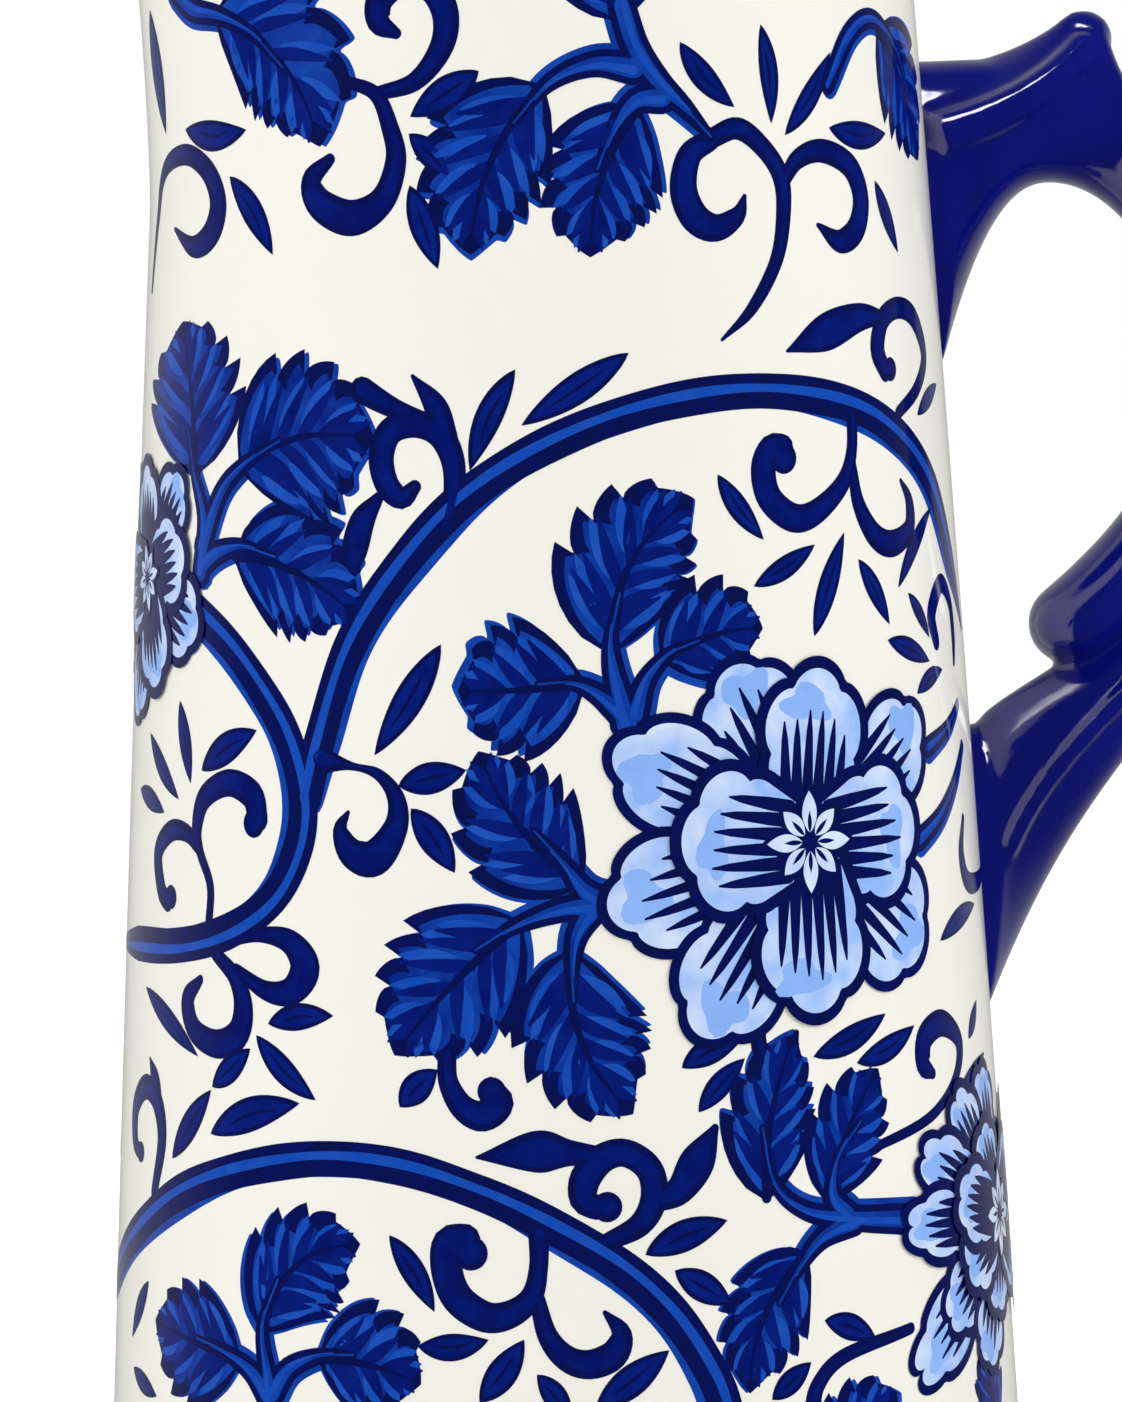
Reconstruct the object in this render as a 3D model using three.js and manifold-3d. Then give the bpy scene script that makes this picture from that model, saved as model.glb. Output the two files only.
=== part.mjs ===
// A tall, tapered pottery jug with a pouring spout and a moulded scroll handle.
// Millimetres, +Z up. The origin is the centre of the flat foot, on the table.
// The handle stands on the +X side and the spout is drawn out towards -X.
import * as THREE from "three";
import { mergeVertices } from "three/addons/utils/BufferGeometryUtils.js";
import Module from "manifold-3d";

const { clamp, degToRad, lerp } = THREE.MathUtils;

// Wall and base
const RIM_HEIGHT = 254;
const WALL_RADIUS_LOW = 65.9;
const WALL_RADIUS_RIM = 52.2;
const WALL_BELLY = 0.5;
const WALL_THICKNESS = 4.6;
const WALL_FOOT_ROUND = 3.2;
const FOOT_HEIGHT = 3;
const FOOT_SETBACK = 2.6;
const FLOOR_THICKNESS = 9;
const EDGE_ROUND = 0.9;

// Spout
const THROAT_HEIGHT = 55;
const THROAT_SWELL = 6.2;
const THROAT_POWER = 1.35;
const LIP_HEIGHT = 26;
const LIP_REACH = 9.5;
const LIP_RISE = 4.5;
const LIP_POWER = 2;
const BEAK_POWER = 1.6;
const SPOUT_HALF_ANGLE = degToRad(52);
const SPOUT_CUT_ANGLE = degToRad(41);

// Roots of the handle on the wall
const UPPER_ROOT_HEIGHT = 196;
const UPPER_ROOT_LENGTH = 44.8;
const LOWER_ROOT_HEIGHT = 102.2;
const LOWER_ROOT_LENGTH = 41.8;
const ROOT_WIDTH = 27;
const ROOT_POWER = 2.2;
const LUTE_THICKNESS = 0.9;
const LUTE_LIP = 0.8;

// Bow: heights of its centre line, and reach of its centre line from the wall at the upper root
const CROWN_HEIGHT = 209.6;
const CROWN_REACH = 18.4;
const CROWN_DEPTH = 18;
const GRIP_HEIGHT = 174;
const GRIP_REACH = 44.2;
const GRIP_DEPTH = 14.4;
const BEND_HEIGHT = 154;
const SCROLL_HEIGHT = 137.2;
const SCROLL_REACH = 20.6;
const SCROLL_DEPTH = 12;
const BOW_WIDTH = 19;

// Thumb spur: the height and reach of its tip, and how it tapers from the root of the bow
const SPUR_HEIGHT = 225.4;
const SPUR_REACH = 28.4;
const SPUR_ROOT_DEPTH = 16;
const SPUR_ROOT_WIDTH = 17.5;
const SPUR_TIP_DEPTH = 6.4;
const SPUR_TIP_WIDTH = 7.5;
const SPUR_START_REACH_SHARE = 0.25;
const SPUR_START_DROP_SHARE = 0.1;
const SPUR_BEND_REACH_SHARE = 0.75;
const SPUR_BEND_RISE_SHARE = 0.36;

// Branch: the lower arm, and where its tip lies on the back of the bow
const BRANCH_DEPTH = 16.4;
const BRANCH_WIDTH = 18;
const BRANCH_TIP_DEPTH = 4.8;
const BRANCH_TIP_WIDTH = 13;
const BRANCH_TIP_REACH = 44.4;
const BRANCH_TIP_HEIGHT = 160;
const BRANCH_TIP_LEAN = degToRad(76);
const BRANCH_LOW_REACH_SHARE = 0.24;
const BRANCH_LOW_RISE_SHARE = 0.4;
const BRANCH_HIGH_REACH_SHARE = 0.82;
const BRANCH_HIGH_RISE_SHARE = 0.48;

// Cross-section of the handle: how far its flats are drawn in beside the arris, and how late
const FLAT_HOLLOW = 0.24;
const FLAT_POWER = 1.5;

// Clearances and facets
const GAP = 0.3;
const ROOT_STANDOFF = LUTE_THICKNESS + GAP * 2;
const CUT_OVERRUN = 8;
const MERGE_DISTANCE = 1e-4;
const WALL_SEGMENTS = 64;
const WALL_STEPS = 5;
const THROAT_STEPS = 9;
const SECTION_SIDES = 20;
const ROOT_STEPS = 9;
const CROWN_STEPS = 12;
const SCROLL_STEPS = 12;
const BRANCH_STEPS = 18;
const SPUR_STEPS = 8;
const ROUND_STEPS = 4;

const CREAM_GLAZE = new THREE.MeshStandardMaterial({ color: 0xf3f1ea, roughness: 0.12, metalness: 0 });
const COBALT_GLAZE = new THREE.MeshStandardMaterial({ color: 0x14186b, roughness: 0.1, metalness: 0 });

const wasm = await Module();
wasm.setup();

function toSolid(geometry) {
  geometry.deleteAttribute("normal");
  geometry.deleteAttribute("uv");
  const merged = mergeVertices(geometry, MERGE_DISTANCE);
  const mesh = new wasm.Mesh({
    numProp: 3,
    vertProperties: new Float32Array(merged.attributes.position.array),
    triVerts: new Uint32Array(merged.index.array),
  });
  return new wasm.Manifold(mesh);
}

function toGeometry(solid) {
  const mesh = solid.getMesh();
  const geometry = new THREE.BufferGeometry();
  geometry.setAttribute("position", new THREE.BufferAttribute(new Float32Array(mesh.vertProperties), 3));
  geometry.setIndex(new THREE.BufferAttribute(new Uint32Array(mesh.triVerts), 1));
  geometry.computeVertexNormals();
  return geometry;
}

function named(name, geometry, material) {
  const mesh = new THREE.Mesh(geometry, material);
  mesh.name = name;
  return mesh;
}

// Evenly spread numbers from one value to another, both ends included
function spread(from, to, steps) {
  return Array.from({ length: steps + 1 }, (_, i) => lerp(from, to, i / steps));
}

// Outer radius of the wall at a height, before the spout is drawn out
function wallRadius(z) {
  const share = (z - FOOT_HEIGHT) / (RIM_HEIGHT - FOOT_HEIGHT);
  return lerp(WALL_RADIUS_LOW, WALL_RADIUS_RIM, share) + WALL_BELLY * 4 * share * (1 - share);
}

// A solid of revolution about Z from an outline of [radius, height] points
function revolve(outline) {
  const points = outline.map(([radius, height]) => new THREE.Vector2(radius, height));
  return new THREE.LatheGeometry(points, WALL_SEGMENTS).rotateX(Math.PI / 2);
}

// Points of an arc in the radius and height plane, from one angle to another
function arc(centreRadius, centreHeight, size, from, to, steps) {
  return spread(from, to, steps).map((angle) => [
    centreRadius + size * Math.cos(angle),
    centreHeight + size * Math.sin(angle),
  ]);
}

// Pulls a point of the upper wall out and up to form the swelling throat and the pouring lip
function drawOutSpout(point) {
  const turn = Math.abs(Math.atan2(point.y, -point.x)) / SPOUT_HALF_ANGLE;
  const throat = clamp((point.z - RIM_HEIGHT + THROAT_HEIGHT) / THROAT_HEIGHT, 0, 1);
  const lip = clamp((point.z - RIM_HEIGHT + LIP_HEIGHT) / LIP_HEIGHT, 0, 1) ** LIP_POWER;
  const swell = turn < 1 ? Math.cos((turn * Math.PI) / 2) ** 2 : 0;
  const beak = swell ** BEAK_POWER;
  const pull = THROAT_SWELL * throat ** THROAT_POWER * swell + LIP_REACH * lip * beak;
  const stretch = 1 + pull / Math.hypot(point.x, point.y);
  return point.set(point.x * stretch, point.y * stretch, point.z + LIP_RISE * lip * beak);
}

function shapeSpout(geometry) {
  const position = geometry.attributes.position;
  const point = new THREE.Vector3();
  for (let i = 0; i < position.count; i += 1) {
    drawOutSpout(point.fromBufferAttribute(position, i));
    position.setXYZ(i, point.x, point.y, point.z);
  }
  return geometry;
}

// The whole open-ended wall with its rounded rim and its spout, before the spout is parted from it
function wallShell() {
  const rimRound = WALL_THICKNESS / 2;
  const throat = RIM_HEIGHT - THROAT_HEIGHT;
  const heights = [
    ...spread(FOOT_HEIGHT + WALL_FOOT_ROUND, throat, WALL_STEPS).slice(0, -1),
    ...spread(throat, RIM_HEIGHT - rimRound, THROAT_STEPS),
  ];
  const outer = heights.map((z) => [wallRadius(z), z]);
  const inner = heights.map((z) => [wallRadius(z) - WALL_THICKNESS, z]).reverse();
  const footCentre = outer[0][0] - WALL_FOOT_ROUND;
  const foot = arc(footCentre, heights[0], WALL_FOOT_ROUND, -Math.PI / 2, 0, ROUND_STEPS);
  const rimCentre = wallRadius(RIM_HEIGHT - rimRound) - rimRound;
  const rim = arc(rimCentre, RIM_HEIGHT - rimRound, rimRound, 0, Math.PI, ROUND_STEPS * 2);
  const seat = [wallRadius(FOOT_HEIGHT) - WALL_THICKNESS, FOOT_HEIGHT];
  const outline = [seat, ...foot.slice(0, -1), ...outer, ...rim.slice(1, -1), ...inner, seat];
  return toSolid(shapeSpout(revolve(outline)));
}

// A wedge on the spout side whose two faces meet in the wall below the throat and open upwards.
// The margin moves its faces out, or in where it is negative.
function spoutWedge(margin) {
  const bottom = RIM_HEIGHT - THROAT_HEIGHT;
  const top = RIM_HEIGHT + LIP_RISE + CUT_OVERRUN;
  const reach = WALL_RADIUS_LOW + LIP_REACH + THROAT_SWELL + CUT_OVERRUN;
  const slope = (WALL_RADIUS_RIM * Math.sin(SPOUT_CUT_ANGLE)) / THROAT_HEIGHT;
  const widen = margin * Math.hypot(1, slope);
  const halfWidth = (top - bottom) * slope + widen;
  const outline = new THREE.Shape([
    new THREE.Vector2(0, bottom - widen / slope),
    new THREE.Vector2(halfWidth, top),
    new THREE.Vector2(-halfWidth, top),
  ]);
  const wedge = new THREE.ExtrudeGeometry(outline, { depth: reach, bevelEnabled: false, steps: 1 });
  return toSolid(wedge.rotateX(Math.PI / 2).rotateZ(-Math.PI / 2));
}

// The wall's outer form as a filled solid, grown outwards, for cutting what stands on the wall
function filledWall(growth) {
  const bottom = FOOT_HEIGHT - CUT_OVERRUN;
  const top = RIM_HEIGHT + CUT_OVERRUN;
  const side = spread(bottom, top, WALL_STEPS * 2).map((z) => [wallRadius(z) + growth, z]);
  return toSolid(revolve([[0, bottom], ...side, [0, top]]));
}

// The base: a disc inside the wall, on a foot that the wall's lower edge stands on
function baseDisc() {
  const foot = wallRadius(FOOT_HEIGHT) - FOOT_SETBACK;
  const disc = wallRadius(FLOOR_THICKNESS) - WALL_THICKNESS - GAP;
  return revolve([
    [0, 0],
    ...arc(foot - EDGE_ROUND, EDGE_ROUND, EDGE_ROUND, -Math.PI / 2, 0, ROUND_STEPS),
    [foot, FOOT_HEIGHT],
    [disc, FOOT_HEIGHT],
    ...arc(disc - EDGE_ROUND, FLOOR_THICKNESS - EDGE_ROUND, EDGE_ROUND, 0, Math.PI / 2, ROUND_STEPS),
    [0, FLOOR_THICKNESS],
  ]);
}

// A moulded cross-section of the handle: where its centre is, which way the spine leans up from +X,
// and its full depth in the plane of the handle and width across it
function section(x, z, lean, depth, width) {
  return { x, z, lean, depth, width };
}

// A section square to a flat path of [x, z] at a share of its length
function sectionOn(path, share, depth, width) {
  const centre = path.getPoint(share);
  const along = path.getTangent(share);
  return section(centre.x, centre.y, Math.atan2(along.y, along.x), depth, width);
}

// Corners of a section in units of its half depth and half width: a rounded back and underside,
// parted along each flank by a blunt arris
function sectionCorner(side) {
  const angle = (side / SECTION_SIDES) * Math.PI * 2;
  const depth = Math.cos(angle);
  const width = Math.sin(angle);
  const hollow = 1 - FLAT_HOLLOW * Math.abs(depth) ** FLAT_POWER * Math.abs(width);
  return [depth * hollow, width * hollow];
}

// Closes a spine with shrinking sections, like a thumb tip
function roundOff(last) {
  const angles = spread(0, Math.PI / 2, ROUND_STEPS).slice(1, -1);
  return angles.map((angle) => {
    const run = (last.depth / 2) * Math.sin(angle);
    const x = last.x + run * Math.cos(last.lean);
    const z = last.z + run * Math.sin(last.lean);
    return section(x, z, last.lean, last.depth * Math.cos(angle), last.width * Math.cos(angle));
  });
}

// Skins a row of sections into one closed solid, each section grown on all sides
function loft(sections, growth) {
  const positions = sections.flatMap((cut) =>
    Array.from({ length: SECTION_SIDES }, (_, side) => {
      const [depth, width] = sectionCorner(side);
      const out = depth * (cut.depth / 2 + growth);
      const across = width * (cut.width / 2 + growth);
      return [cut.x - out * Math.sin(cut.lean), across, cut.z + out * Math.cos(cut.lean)];
    }).flat());
  const corner = (row, side) => row * SECTION_SIDES + (side % SECTION_SIDES);
  const last = sections.length - 1;
  const faces = [];
  for (let side = 0; side < SECTION_SIDES; side += 1) {
    for (let row = 0; row < last; row += 1) {
      faces.push(corner(row, side), corner(row + 1, side + 1), corner(row, side + 1));
      faces.push(corner(row, side), corner(row + 1, side), corner(row + 1, side + 1));
    }
  }
  for (let side = 1; side < SECTION_SIDES - 1; side += 1) {
    faces.push(corner(0, 0), corner(0, side), corner(0, side + 1));
    faces.push(corner(last, 0), corner(last, side + 1), corner(last, side));
  }
  const geometry = new THREE.BufferGeometry();
  geometry.setAttribute("position", new THREE.Float32BufferAttribute(positions, 3));
  geometry.setIndex(faces);
  return toSolid(geometry);
}

// The bow: a flared root, a quarter ellipse from the crown to the grip, and a bend in to the rolled end
function bowSections() {
  const wall = wallRadius(UPPER_ROOT_HEIGHT);
  const buried = section(wall - CUT_OVERRUN, UPPER_ROOT_HEIGHT, 0, UPPER_ROOT_LENGTH, ROOT_WIDTH);
  const root = spread(0, 1, ROOT_STEPS).map((share) => {
    const flare = (1 - share) ** ROOT_POWER;
    return section(
      wall + lerp(ROOT_STANDOFF, CROWN_REACH, share),
      lerp(CROWN_HEIGHT, UPPER_ROOT_HEIGHT, flare),
      0,
      lerp(CROWN_DEPTH, UPPER_ROOT_LENGTH, flare),
      lerp(BOW_WIDTH, ROOT_WIDTH, flare),
    );
  });
  const halfWidth = GRIP_REACH - CROWN_REACH;
  const halfHeight = CROWN_HEIGHT - GRIP_HEIGHT;
  const crown = spread(Math.PI / 2, 0, CROWN_STEPS).slice(1).map((angle) => {
    const x = wall + CROWN_REACH + halfWidth * Math.cos(angle);
    const z = GRIP_HEIGHT + halfHeight * Math.sin(angle);
    const lean = Math.atan2(Math.sin(angle) / halfHeight, Math.cos(angle) / halfWidth) - Math.PI / 2;
    return section(x, z, lean, lerp(GRIP_DEPTH, CROWN_DEPTH, Math.sin(angle) ** 2), BOW_WIDTH);
  });
  const path = new THREE.QuadraticBezierCurve(
    new THREE.Vector2(wall + GRIP_REACH, GRIP_HEIGHT),
    new THREE.Vector2(wall + GRIP_REACH, BEND_HEIGHT),
    new THREE.Vector2(wall + SCROLL_REACH, SCROLL_HEIGHT),
  );
  const scroll = spread(0, 1, SCROLL_STEPS).slice(1).map((share) => {
    const depth = lerp(GRIP_DEPTH, SCROLL_DEPTH, share ** 2);
    return sectionOn(path, share, depth, BOW_WIDTH);
  });
  return [buried, ...root, ...crown, ...scroll, ...roundOff(scroll[scroll.length - 1])];
}

// The thumb spur: a crest along the top of the bow that rises to a tip past the crown
function spurSections() {
  const wall = wallRadius(UPPER_ROOT_HEIGHT);
  const rise = SPUR_HEIGHT - CROWN_HEIGHT;
  const bend = (reachShare, riseShare) =>
    new THREE.Vector2(wall + CROWN_REACH * reachShare, CROWN_HEIGHT + rise * riseShare);
  const path = new THREE.QuadraticBezierCurve(
    bend(SPUR_START_REACH_SHARE, -SPUR_START_DROP_SHARE),
    bend(SPUR_BEND_REACH_SHARE, SPUR_BEND_RISE_SHARE),
    new THREE.Vector2(wall + SPUR_REACH - SPUR_TIP_DEPTH / 2, SPUR_HEIGHT - SPUR_TIP_DEPTH / 2),
  );
  const crest = spread(0, 1, SPUR_STEPS).map((share) => {
    const depth = lerp(SPUR_ROOT_DEPTH, SPUR_TIP_DEPTH, share);
    return sectionOn(path, share, depth, lerp(SPUR_ROOT_WIDTH, SPUR_TIP_WIDTH, share));
  });
  return [...crest, ...roundOff(crest[SPUR_STEPS])];
}

// The branch: a flared root, then an arm that rises and tapers along the back of the bow
function branchSections() {
  const wall = wallRadius(LOWER_ROOT_HEIGHT);
  const buried = section(wall - CUT_OVERRUN, LOWER_ROOT_HEIGHT, 0, LOWER_ROOT_LENGTH, ROOT_WIDTH);
  const rise = BRANCH_TIP_HEIGHT - LOWER_ROOT_HEIGHT;
  const bend = (reachShare, riseShare) =>
    new THREE.Vector2(wall + BRANCH_TIP_REACH * reachShare, LOWER_ROOT_HEIGHT + rise * riseShare);
  const path = new THREE.CubicBezierCurve(
    new THREE.Vector2(wall + ROOT_STANDOFF, LOWER_ROOT_HEIGHT),
    bend(BRANCH_LOW_REACH_SHARE, BRANCH_LOW_RISE_SHARE),
    bend(BRANCH_HIGH_REACH_SHARE, BRANCH_HIGH_RISE_SHARE),
    new THREE.Vector2(wall + BRANCH_TIP_REACH, BRANCH_TIP_HEIGHT),
  );
  const arm = spread(0, 1, BRANCH_STEPS).map((share) => {
    const centre = path.getPoint(share);
    const flare = (1 - share) ** (ROOT_POWER * 2);
    const depth = lerp(lerp(BRANCH_DEPTH, BRANCH_TIP_DEPTH, share ** 2), LOWER_ROOT_LENGTH, flare);
    const width = lerp(lerp(BRANCH_WIDTH, BRANCH_TIP_WIDTH, share ** 2), ROOT_WIDTH, flare);
    return section(centre.x, centre.y, BRANCH_TIP_LEAN * share, depth, width);
  });
  return [buried, ...arm, ...roundOff(arm[BRANCH_STEPS])];
}

// A pad of slip between the wall and a root of the handle, a lip wider than the root all round
function lutingPad(rootSection) {
  const reach = { ...rootSection, x: rootSection.x + CUT_OVERRUN * 2 };
  const plug = loft([rootSection, reach], LUTE_LIP);
  return plug.intersect(filledWall(GAP + LUTE_THICKNESS)).subtract(filledWall(GAP));
}

function buildJug() {
  const shell = wallShell();
  const lutedWall = filledWall(ROOT_STANDOFF);
  const bow = bowSections();
  const branch = branchSections();
  const bowSolid = loft(bow, 0).add(loft(spurSections(), 0)).subtract(lutedWall);
  const branchSolid = loft(branch, 0).subtract(loft(bow, GAP)).subtract(lutedWall);

  const jug = new THREE.Group();
  jug.add(named("body_wall", toGeometry(shell.subtract(spoutWedge(GAP / 2))), CREAM_GLAZE));
  jug.add(named("base_disc", baseDisc(), CREAM_GLAZE));
  jug.add(named("pouring_spout", toGeometry(shell.intersect(spoutWedge(-GAP / 2))), CREAM_GLAZE));
  jug.add(named("handle_bow", toGeometry(bowSolid), COBALT_GLAZE));
  jug.add(named("handle_branch", toGeometry(branchSolid), COBALT_GLAZE));
  jug.add(named("upper_luting", toGeometry(lutingPad(bow[0])), COBALT_GLAZE));
  jug.add(named("lower_luting", toGeometry(lutingPad(branch[0])), COBALT_GLAZE));
  return jug;
}

export default buildJug();
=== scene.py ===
"""A tall pottery pitcher with a painted vine and a moulded handle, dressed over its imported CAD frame."""
import math
import random

import bmesh
import bpy
import numpy as np
from bpy.props import FloatProperty, FloatVectorProperty, PointerProperty
from mathutils import Matrix, Vector
from mathutils.geometry import delaunay_2d_cdt


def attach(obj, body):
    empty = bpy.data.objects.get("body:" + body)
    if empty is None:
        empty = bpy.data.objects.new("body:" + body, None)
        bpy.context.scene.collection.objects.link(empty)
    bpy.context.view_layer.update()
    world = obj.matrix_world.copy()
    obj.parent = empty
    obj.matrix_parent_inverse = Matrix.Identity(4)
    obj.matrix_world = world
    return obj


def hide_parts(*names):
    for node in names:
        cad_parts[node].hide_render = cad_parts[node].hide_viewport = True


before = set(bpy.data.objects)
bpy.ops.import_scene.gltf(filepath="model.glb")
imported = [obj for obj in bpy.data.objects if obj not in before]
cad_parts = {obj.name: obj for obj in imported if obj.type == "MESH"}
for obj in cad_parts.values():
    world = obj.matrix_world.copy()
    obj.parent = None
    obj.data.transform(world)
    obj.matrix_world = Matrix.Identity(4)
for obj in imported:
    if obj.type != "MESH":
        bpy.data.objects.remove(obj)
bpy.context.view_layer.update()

bl_info = {
    "name": "Painted pottery pitcher",
    "version": (1, 0, 0),
    "blender": (4, 5, 0),
    "location": "3D View > Sidebar > Pitcher",
    "description": "Builds a glazed pottery pitcher with a blue vine and a moulded handle",
    "category": "Object",
}

MM = 0.001
SEED = 17
GLAZE_ROUGHNESS = 0.09
GLAZE_IOR = 1.5
# Where a root of the handle starts to narrow, outside the wall.
ROOT_CLEAR = 1.5 * MM
# The thumb spur in mm: reach from the wall and height of its middle line, then sizes from root to tip.
SPUR_PATH = ((-1.0, 207.4), (15.5, 211.4), (24.0, 220.9))
SPUR_WIDTHS = (26.5, 9.4)
SPUR_DEPTHS = (20.5, 8.8)
CREST_RADII = (3.3, 2.3)
# The spur's second ridge in mm: reach from the wall, distance from the middle plane and height.
HEEL_PATH = ((23.8, 1.2, 220.6), (24.4, 4.0, 213.4), (31.6, 6.4, 203.0))
HEEL_RADII = (3.8, 4.2)
SEAM_RADIUS = 1.3 * MM
SEAM_SUNK = 0.5 * MM
# The order in which the paint lies, counted in coats.
SLIP_COAT = 1
LINE_COAT = 2
WASH_COAT = 3
FLAME_COAT = 3.4
VEIN_COAT = 3.85
RIB_COAT = 4.3
STEM_COATS = (1.3, 4, 5, 6)
FLOWER_COAT = 6.6
# Over a petal's dark edge: its wash, its second wash, its lines and then the next petal.
PETAL_COATS = (0.75, 1.2, 1.6, 2.0)
# Shapes whose middle lies further round than this are left off the back panel.
FRONT_ONLY_PAST = math.radians(-55)


def linear(code):
    """Turn an sRGB hex code into a linear colour with alpha."""
    channels = [int(code[i : i + 2], 16) / 255 for i in (0, 2, 4)]
    return tuple(c / 12.92 if c <= 0.04045 else ((c + 0.055) / 1.055) ** 2.4 for c in channels) + (1.0,)


def size(name, description, millimetres):
    """A length that a user may change."""
    return FloatProperty(
        name=name, description=description, default=millimetres * MM, precision=5, unit="LENGTH"
    )


def turn(name, description, degrees):
    """An angle that a user may change."""
    return FloatProperty(name=name, description=description, default=math.radians(degrees), subtype="ANGLE")


def share(name, description, value):
    """A plain number that a user may change."""
    return FloatProperty(name=name, description=description, default=value, precision=4)


def colour(name, description, code):
    """A colour that a user may change."""
    return FloatVectorProperty(
        name=name, description=description, default=linear(code), size=4, min=0.0, max=1.0, subtype="COLOR"
    )


class JugSizes(bpy.types.PropertyGroup):
    """Sizes of the thrown body and its spout, as in the CAD source."""

    rim_height: size("Rim height", "Height of the rim above the table", 254)
    radius_low: size("Low radius", "Radius of the wall just above the foot", 65.9)
    radius_rim: size("Rim radius", "Radius of the wall at the rim", 52.2)
    belly: size("Belly", "How far the wall swells at half its height", 0.5)
    wall: size("Wall", "Thickness of the wall", 4.6)
    foot_height: size("Foot height", "Height of the dry foot below the wall", 3)
    foot_setback: size("Foot setback", "How far the foot lies inside the wall", 2.6)
    foot_round: size("Foot round", "Radius of the wall's lower edge", 3.2)
    foot_hollow: size("Foot hollow", "Depth of the hollow turned under the foot", 1.2)
    floor: size("Floor", "Height of the inside floor", 9)
    floor_round: size("Floor round", "Radius between the inside wall and the floor", 7)
    throat_height: size("Throat height", "Height of the swelling below the spout", 55)
    throat_swell: size("Throat swell", "How far the throat swells at the rim", 6.2)
    throat_power: share("Throat power", "How late the throat starts to swell", 1.35)
    lip_height: size("Lip height", "Height over which the lip is drawn out", 26)
    lip_reach: size("Lip reach", "How far the lip is drawn out", 9.5)
    lip_rise: size("Lip rise", "How far the lip rises above the rim", 4.5)
    beak_power: share("Beak power", "How narrow the beak of the lip is", 1.6)
    spout_half: turn("Spout half angle", "Half of the turn that the spout takes", 52)


class HandleSizes(bpy.types.PropertyGroup):
    """Sizes of the moulded handle, as in the CAD source."""

    upper_root: size("Upper root height", "Height of the middle of the upper root", 196)
    upper_length: size("Upper root length", "Length of the upper root on the wall", 44.8)
    lower_root: size("Lower root height", "Height of the middle of the lower root", 102.2)
    lower_length: size("Lower root length", "Length of the lower root on the wall", 41.8)
    root_width: size("Root width", "Width of both roots on the wall", 27)
    root_power: share("Root power", "How fast a root narrows from the wall", 2.2)
    root_sunk: size("Root sunk", "How far a root is set into the wall", 2.8)
    crown_height: size("Crown height", "Height of the bow's top centre line", 209.6)
    crown_reach: size("Crown reach", "Reach of the straight top of the bow", 18.4)
    crown_depth: size("Crown depth", "Depth of the bow at its top", 18)
    grip_height: size("Grip height", "Height of the bow's furthest point", 174)
    grip_reach: size("Grip reach", "Reach of the bow's centre line", 44.2)
    grip_depth: size("Grip depth", "Depth of the bow at the grip", 14.4)
    bend_height: size("Bend height", "Height of the control point of the scroll", 154)
    scroll_height: size("Scroll height", "Height of the rolled end", 137.2)
    scroll_reach: size("Scroll reach", "Reach of the rolled end", 20.6)
    scroll_depth: size("Scroll depth", "Depth of the rolled end", 12)
    bow_width: size("Bow width", "Width of the bow", 19)
    branch_depth: size("Branch depth", "Depth of the branch", 16.4)
    branch_width: size("Branch width", "Width of the branch", 18)
    branch_tip_depth: size("Branch tip depth", "Depth of the branch at its tip", 4.8)
    branch_tip_width: size("Branch tip width", "Width of the branch at its tip", 13)
    branch_reach: size("Branch reach", "Reach of the branch's tip", 43.0)
    branch_top: size("Branch top", "Height of the branch's tip", 160)
    branch_lean: turn("Branch lean", "Lean of the branch's tip", 76)
    arris: share("Arris", "How sharp the ridge along the flanks is", 0.42)
    voxel: size("Clay grain", "Grain at which the modelled rolls are joined", 0.55)


class PaintSizes(bpy.types.PropertyGroup):
    """Sizes of the painted vine."""

    film: size("Film", "Thickness of one coat of colour", 0.018)
    grid: size("Grid", "Spacing of the points inside a painted shape", 1.0)
    line: size("Line", "Width of a drawn outline", 1.15)
    vine: size("Vine", "Width of the main vine", 5.0)
    back_turn: turn("Back turn", "Turn from the front panel to the back panel", 184.5)
    back_squeeze: share("Back squeeze", "How much narrower the back panel is", 0.88)
    panel_middle: turn("Panel middle", "Turn of the front panel's middle from the camera's side", 4.5)


class GlazeColours(bpy.types.PropertyGroup):
    """Colours of the glazes and of the paint under them."""

    cream: colour("Cream glaze", "Clear glaze over a cream-white body", "F4F3EB")
    biscuit: colour("Biscuit", "Unglazed clay of the foot", "E4DCCB")
    handle: colour("Handle glaze", "Deep cobalt glaze of the handle", "070B6C")
    navy: colour("Navy line", "Cobalt drawn thick", "020F62")
    wash: colour("Leaf wash", "Cobalt washed over the leaves", "1149B2")
    deep: colour("Deep wash", "Cobalt in two coats", "022082")
    light: colour("Light wash", "Thin cobalt streaks and stripes", "2559BE")
    pale: colour("Petal wash", "Thin cobalt on the petals", "90B8F8")
    second: colour("Second wash", "A second thin coat on the petals", "7FABF0")


class StageSettings(bpy.types.PropertyGroup):
    """Place of the camera and level of the light."""

    azimuth: turn("Azimuth", "Turn of the camera about the jug", -10)
    elevation: turn("Elevation", "Height of the camera as an angle", 3)
    roll: turn("Roll", "Lean of the camera", 1.232)
    distance: size("Distance", "Distance from the camera to the jug's axis", 1500)
    aim_side: size("Aim aside", "How far beside the axis the camera aims", 1.5)
    aim_height: size("Aim height", "Height that the camera aims at", 128.2)
    frame_height: size("Frame height", "Height of the frame at the axis", 200.3)
    key: share("Key lamp", "Power of the large lamp on the right, in watts", 8.6)
    fill: share("Fill lamp", "Power of the large lamp on the left, in watts", 7.0)
    top: share("Top lamp", "Power of the lamp above, in watts", 3.5)
    front: share("Front lamp", "Power of the large lamp in front, in watts", 3.6)
    spark: share("Spark lamp", "Power of the lamp that is mirrored on the ridges, in watts", 9.0)
    room: share("Room light", "Strength of the light from all round", 0.58)
    floor: share("Floor light", "How far the floor is lifted to the white of the room", 0.55)


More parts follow.
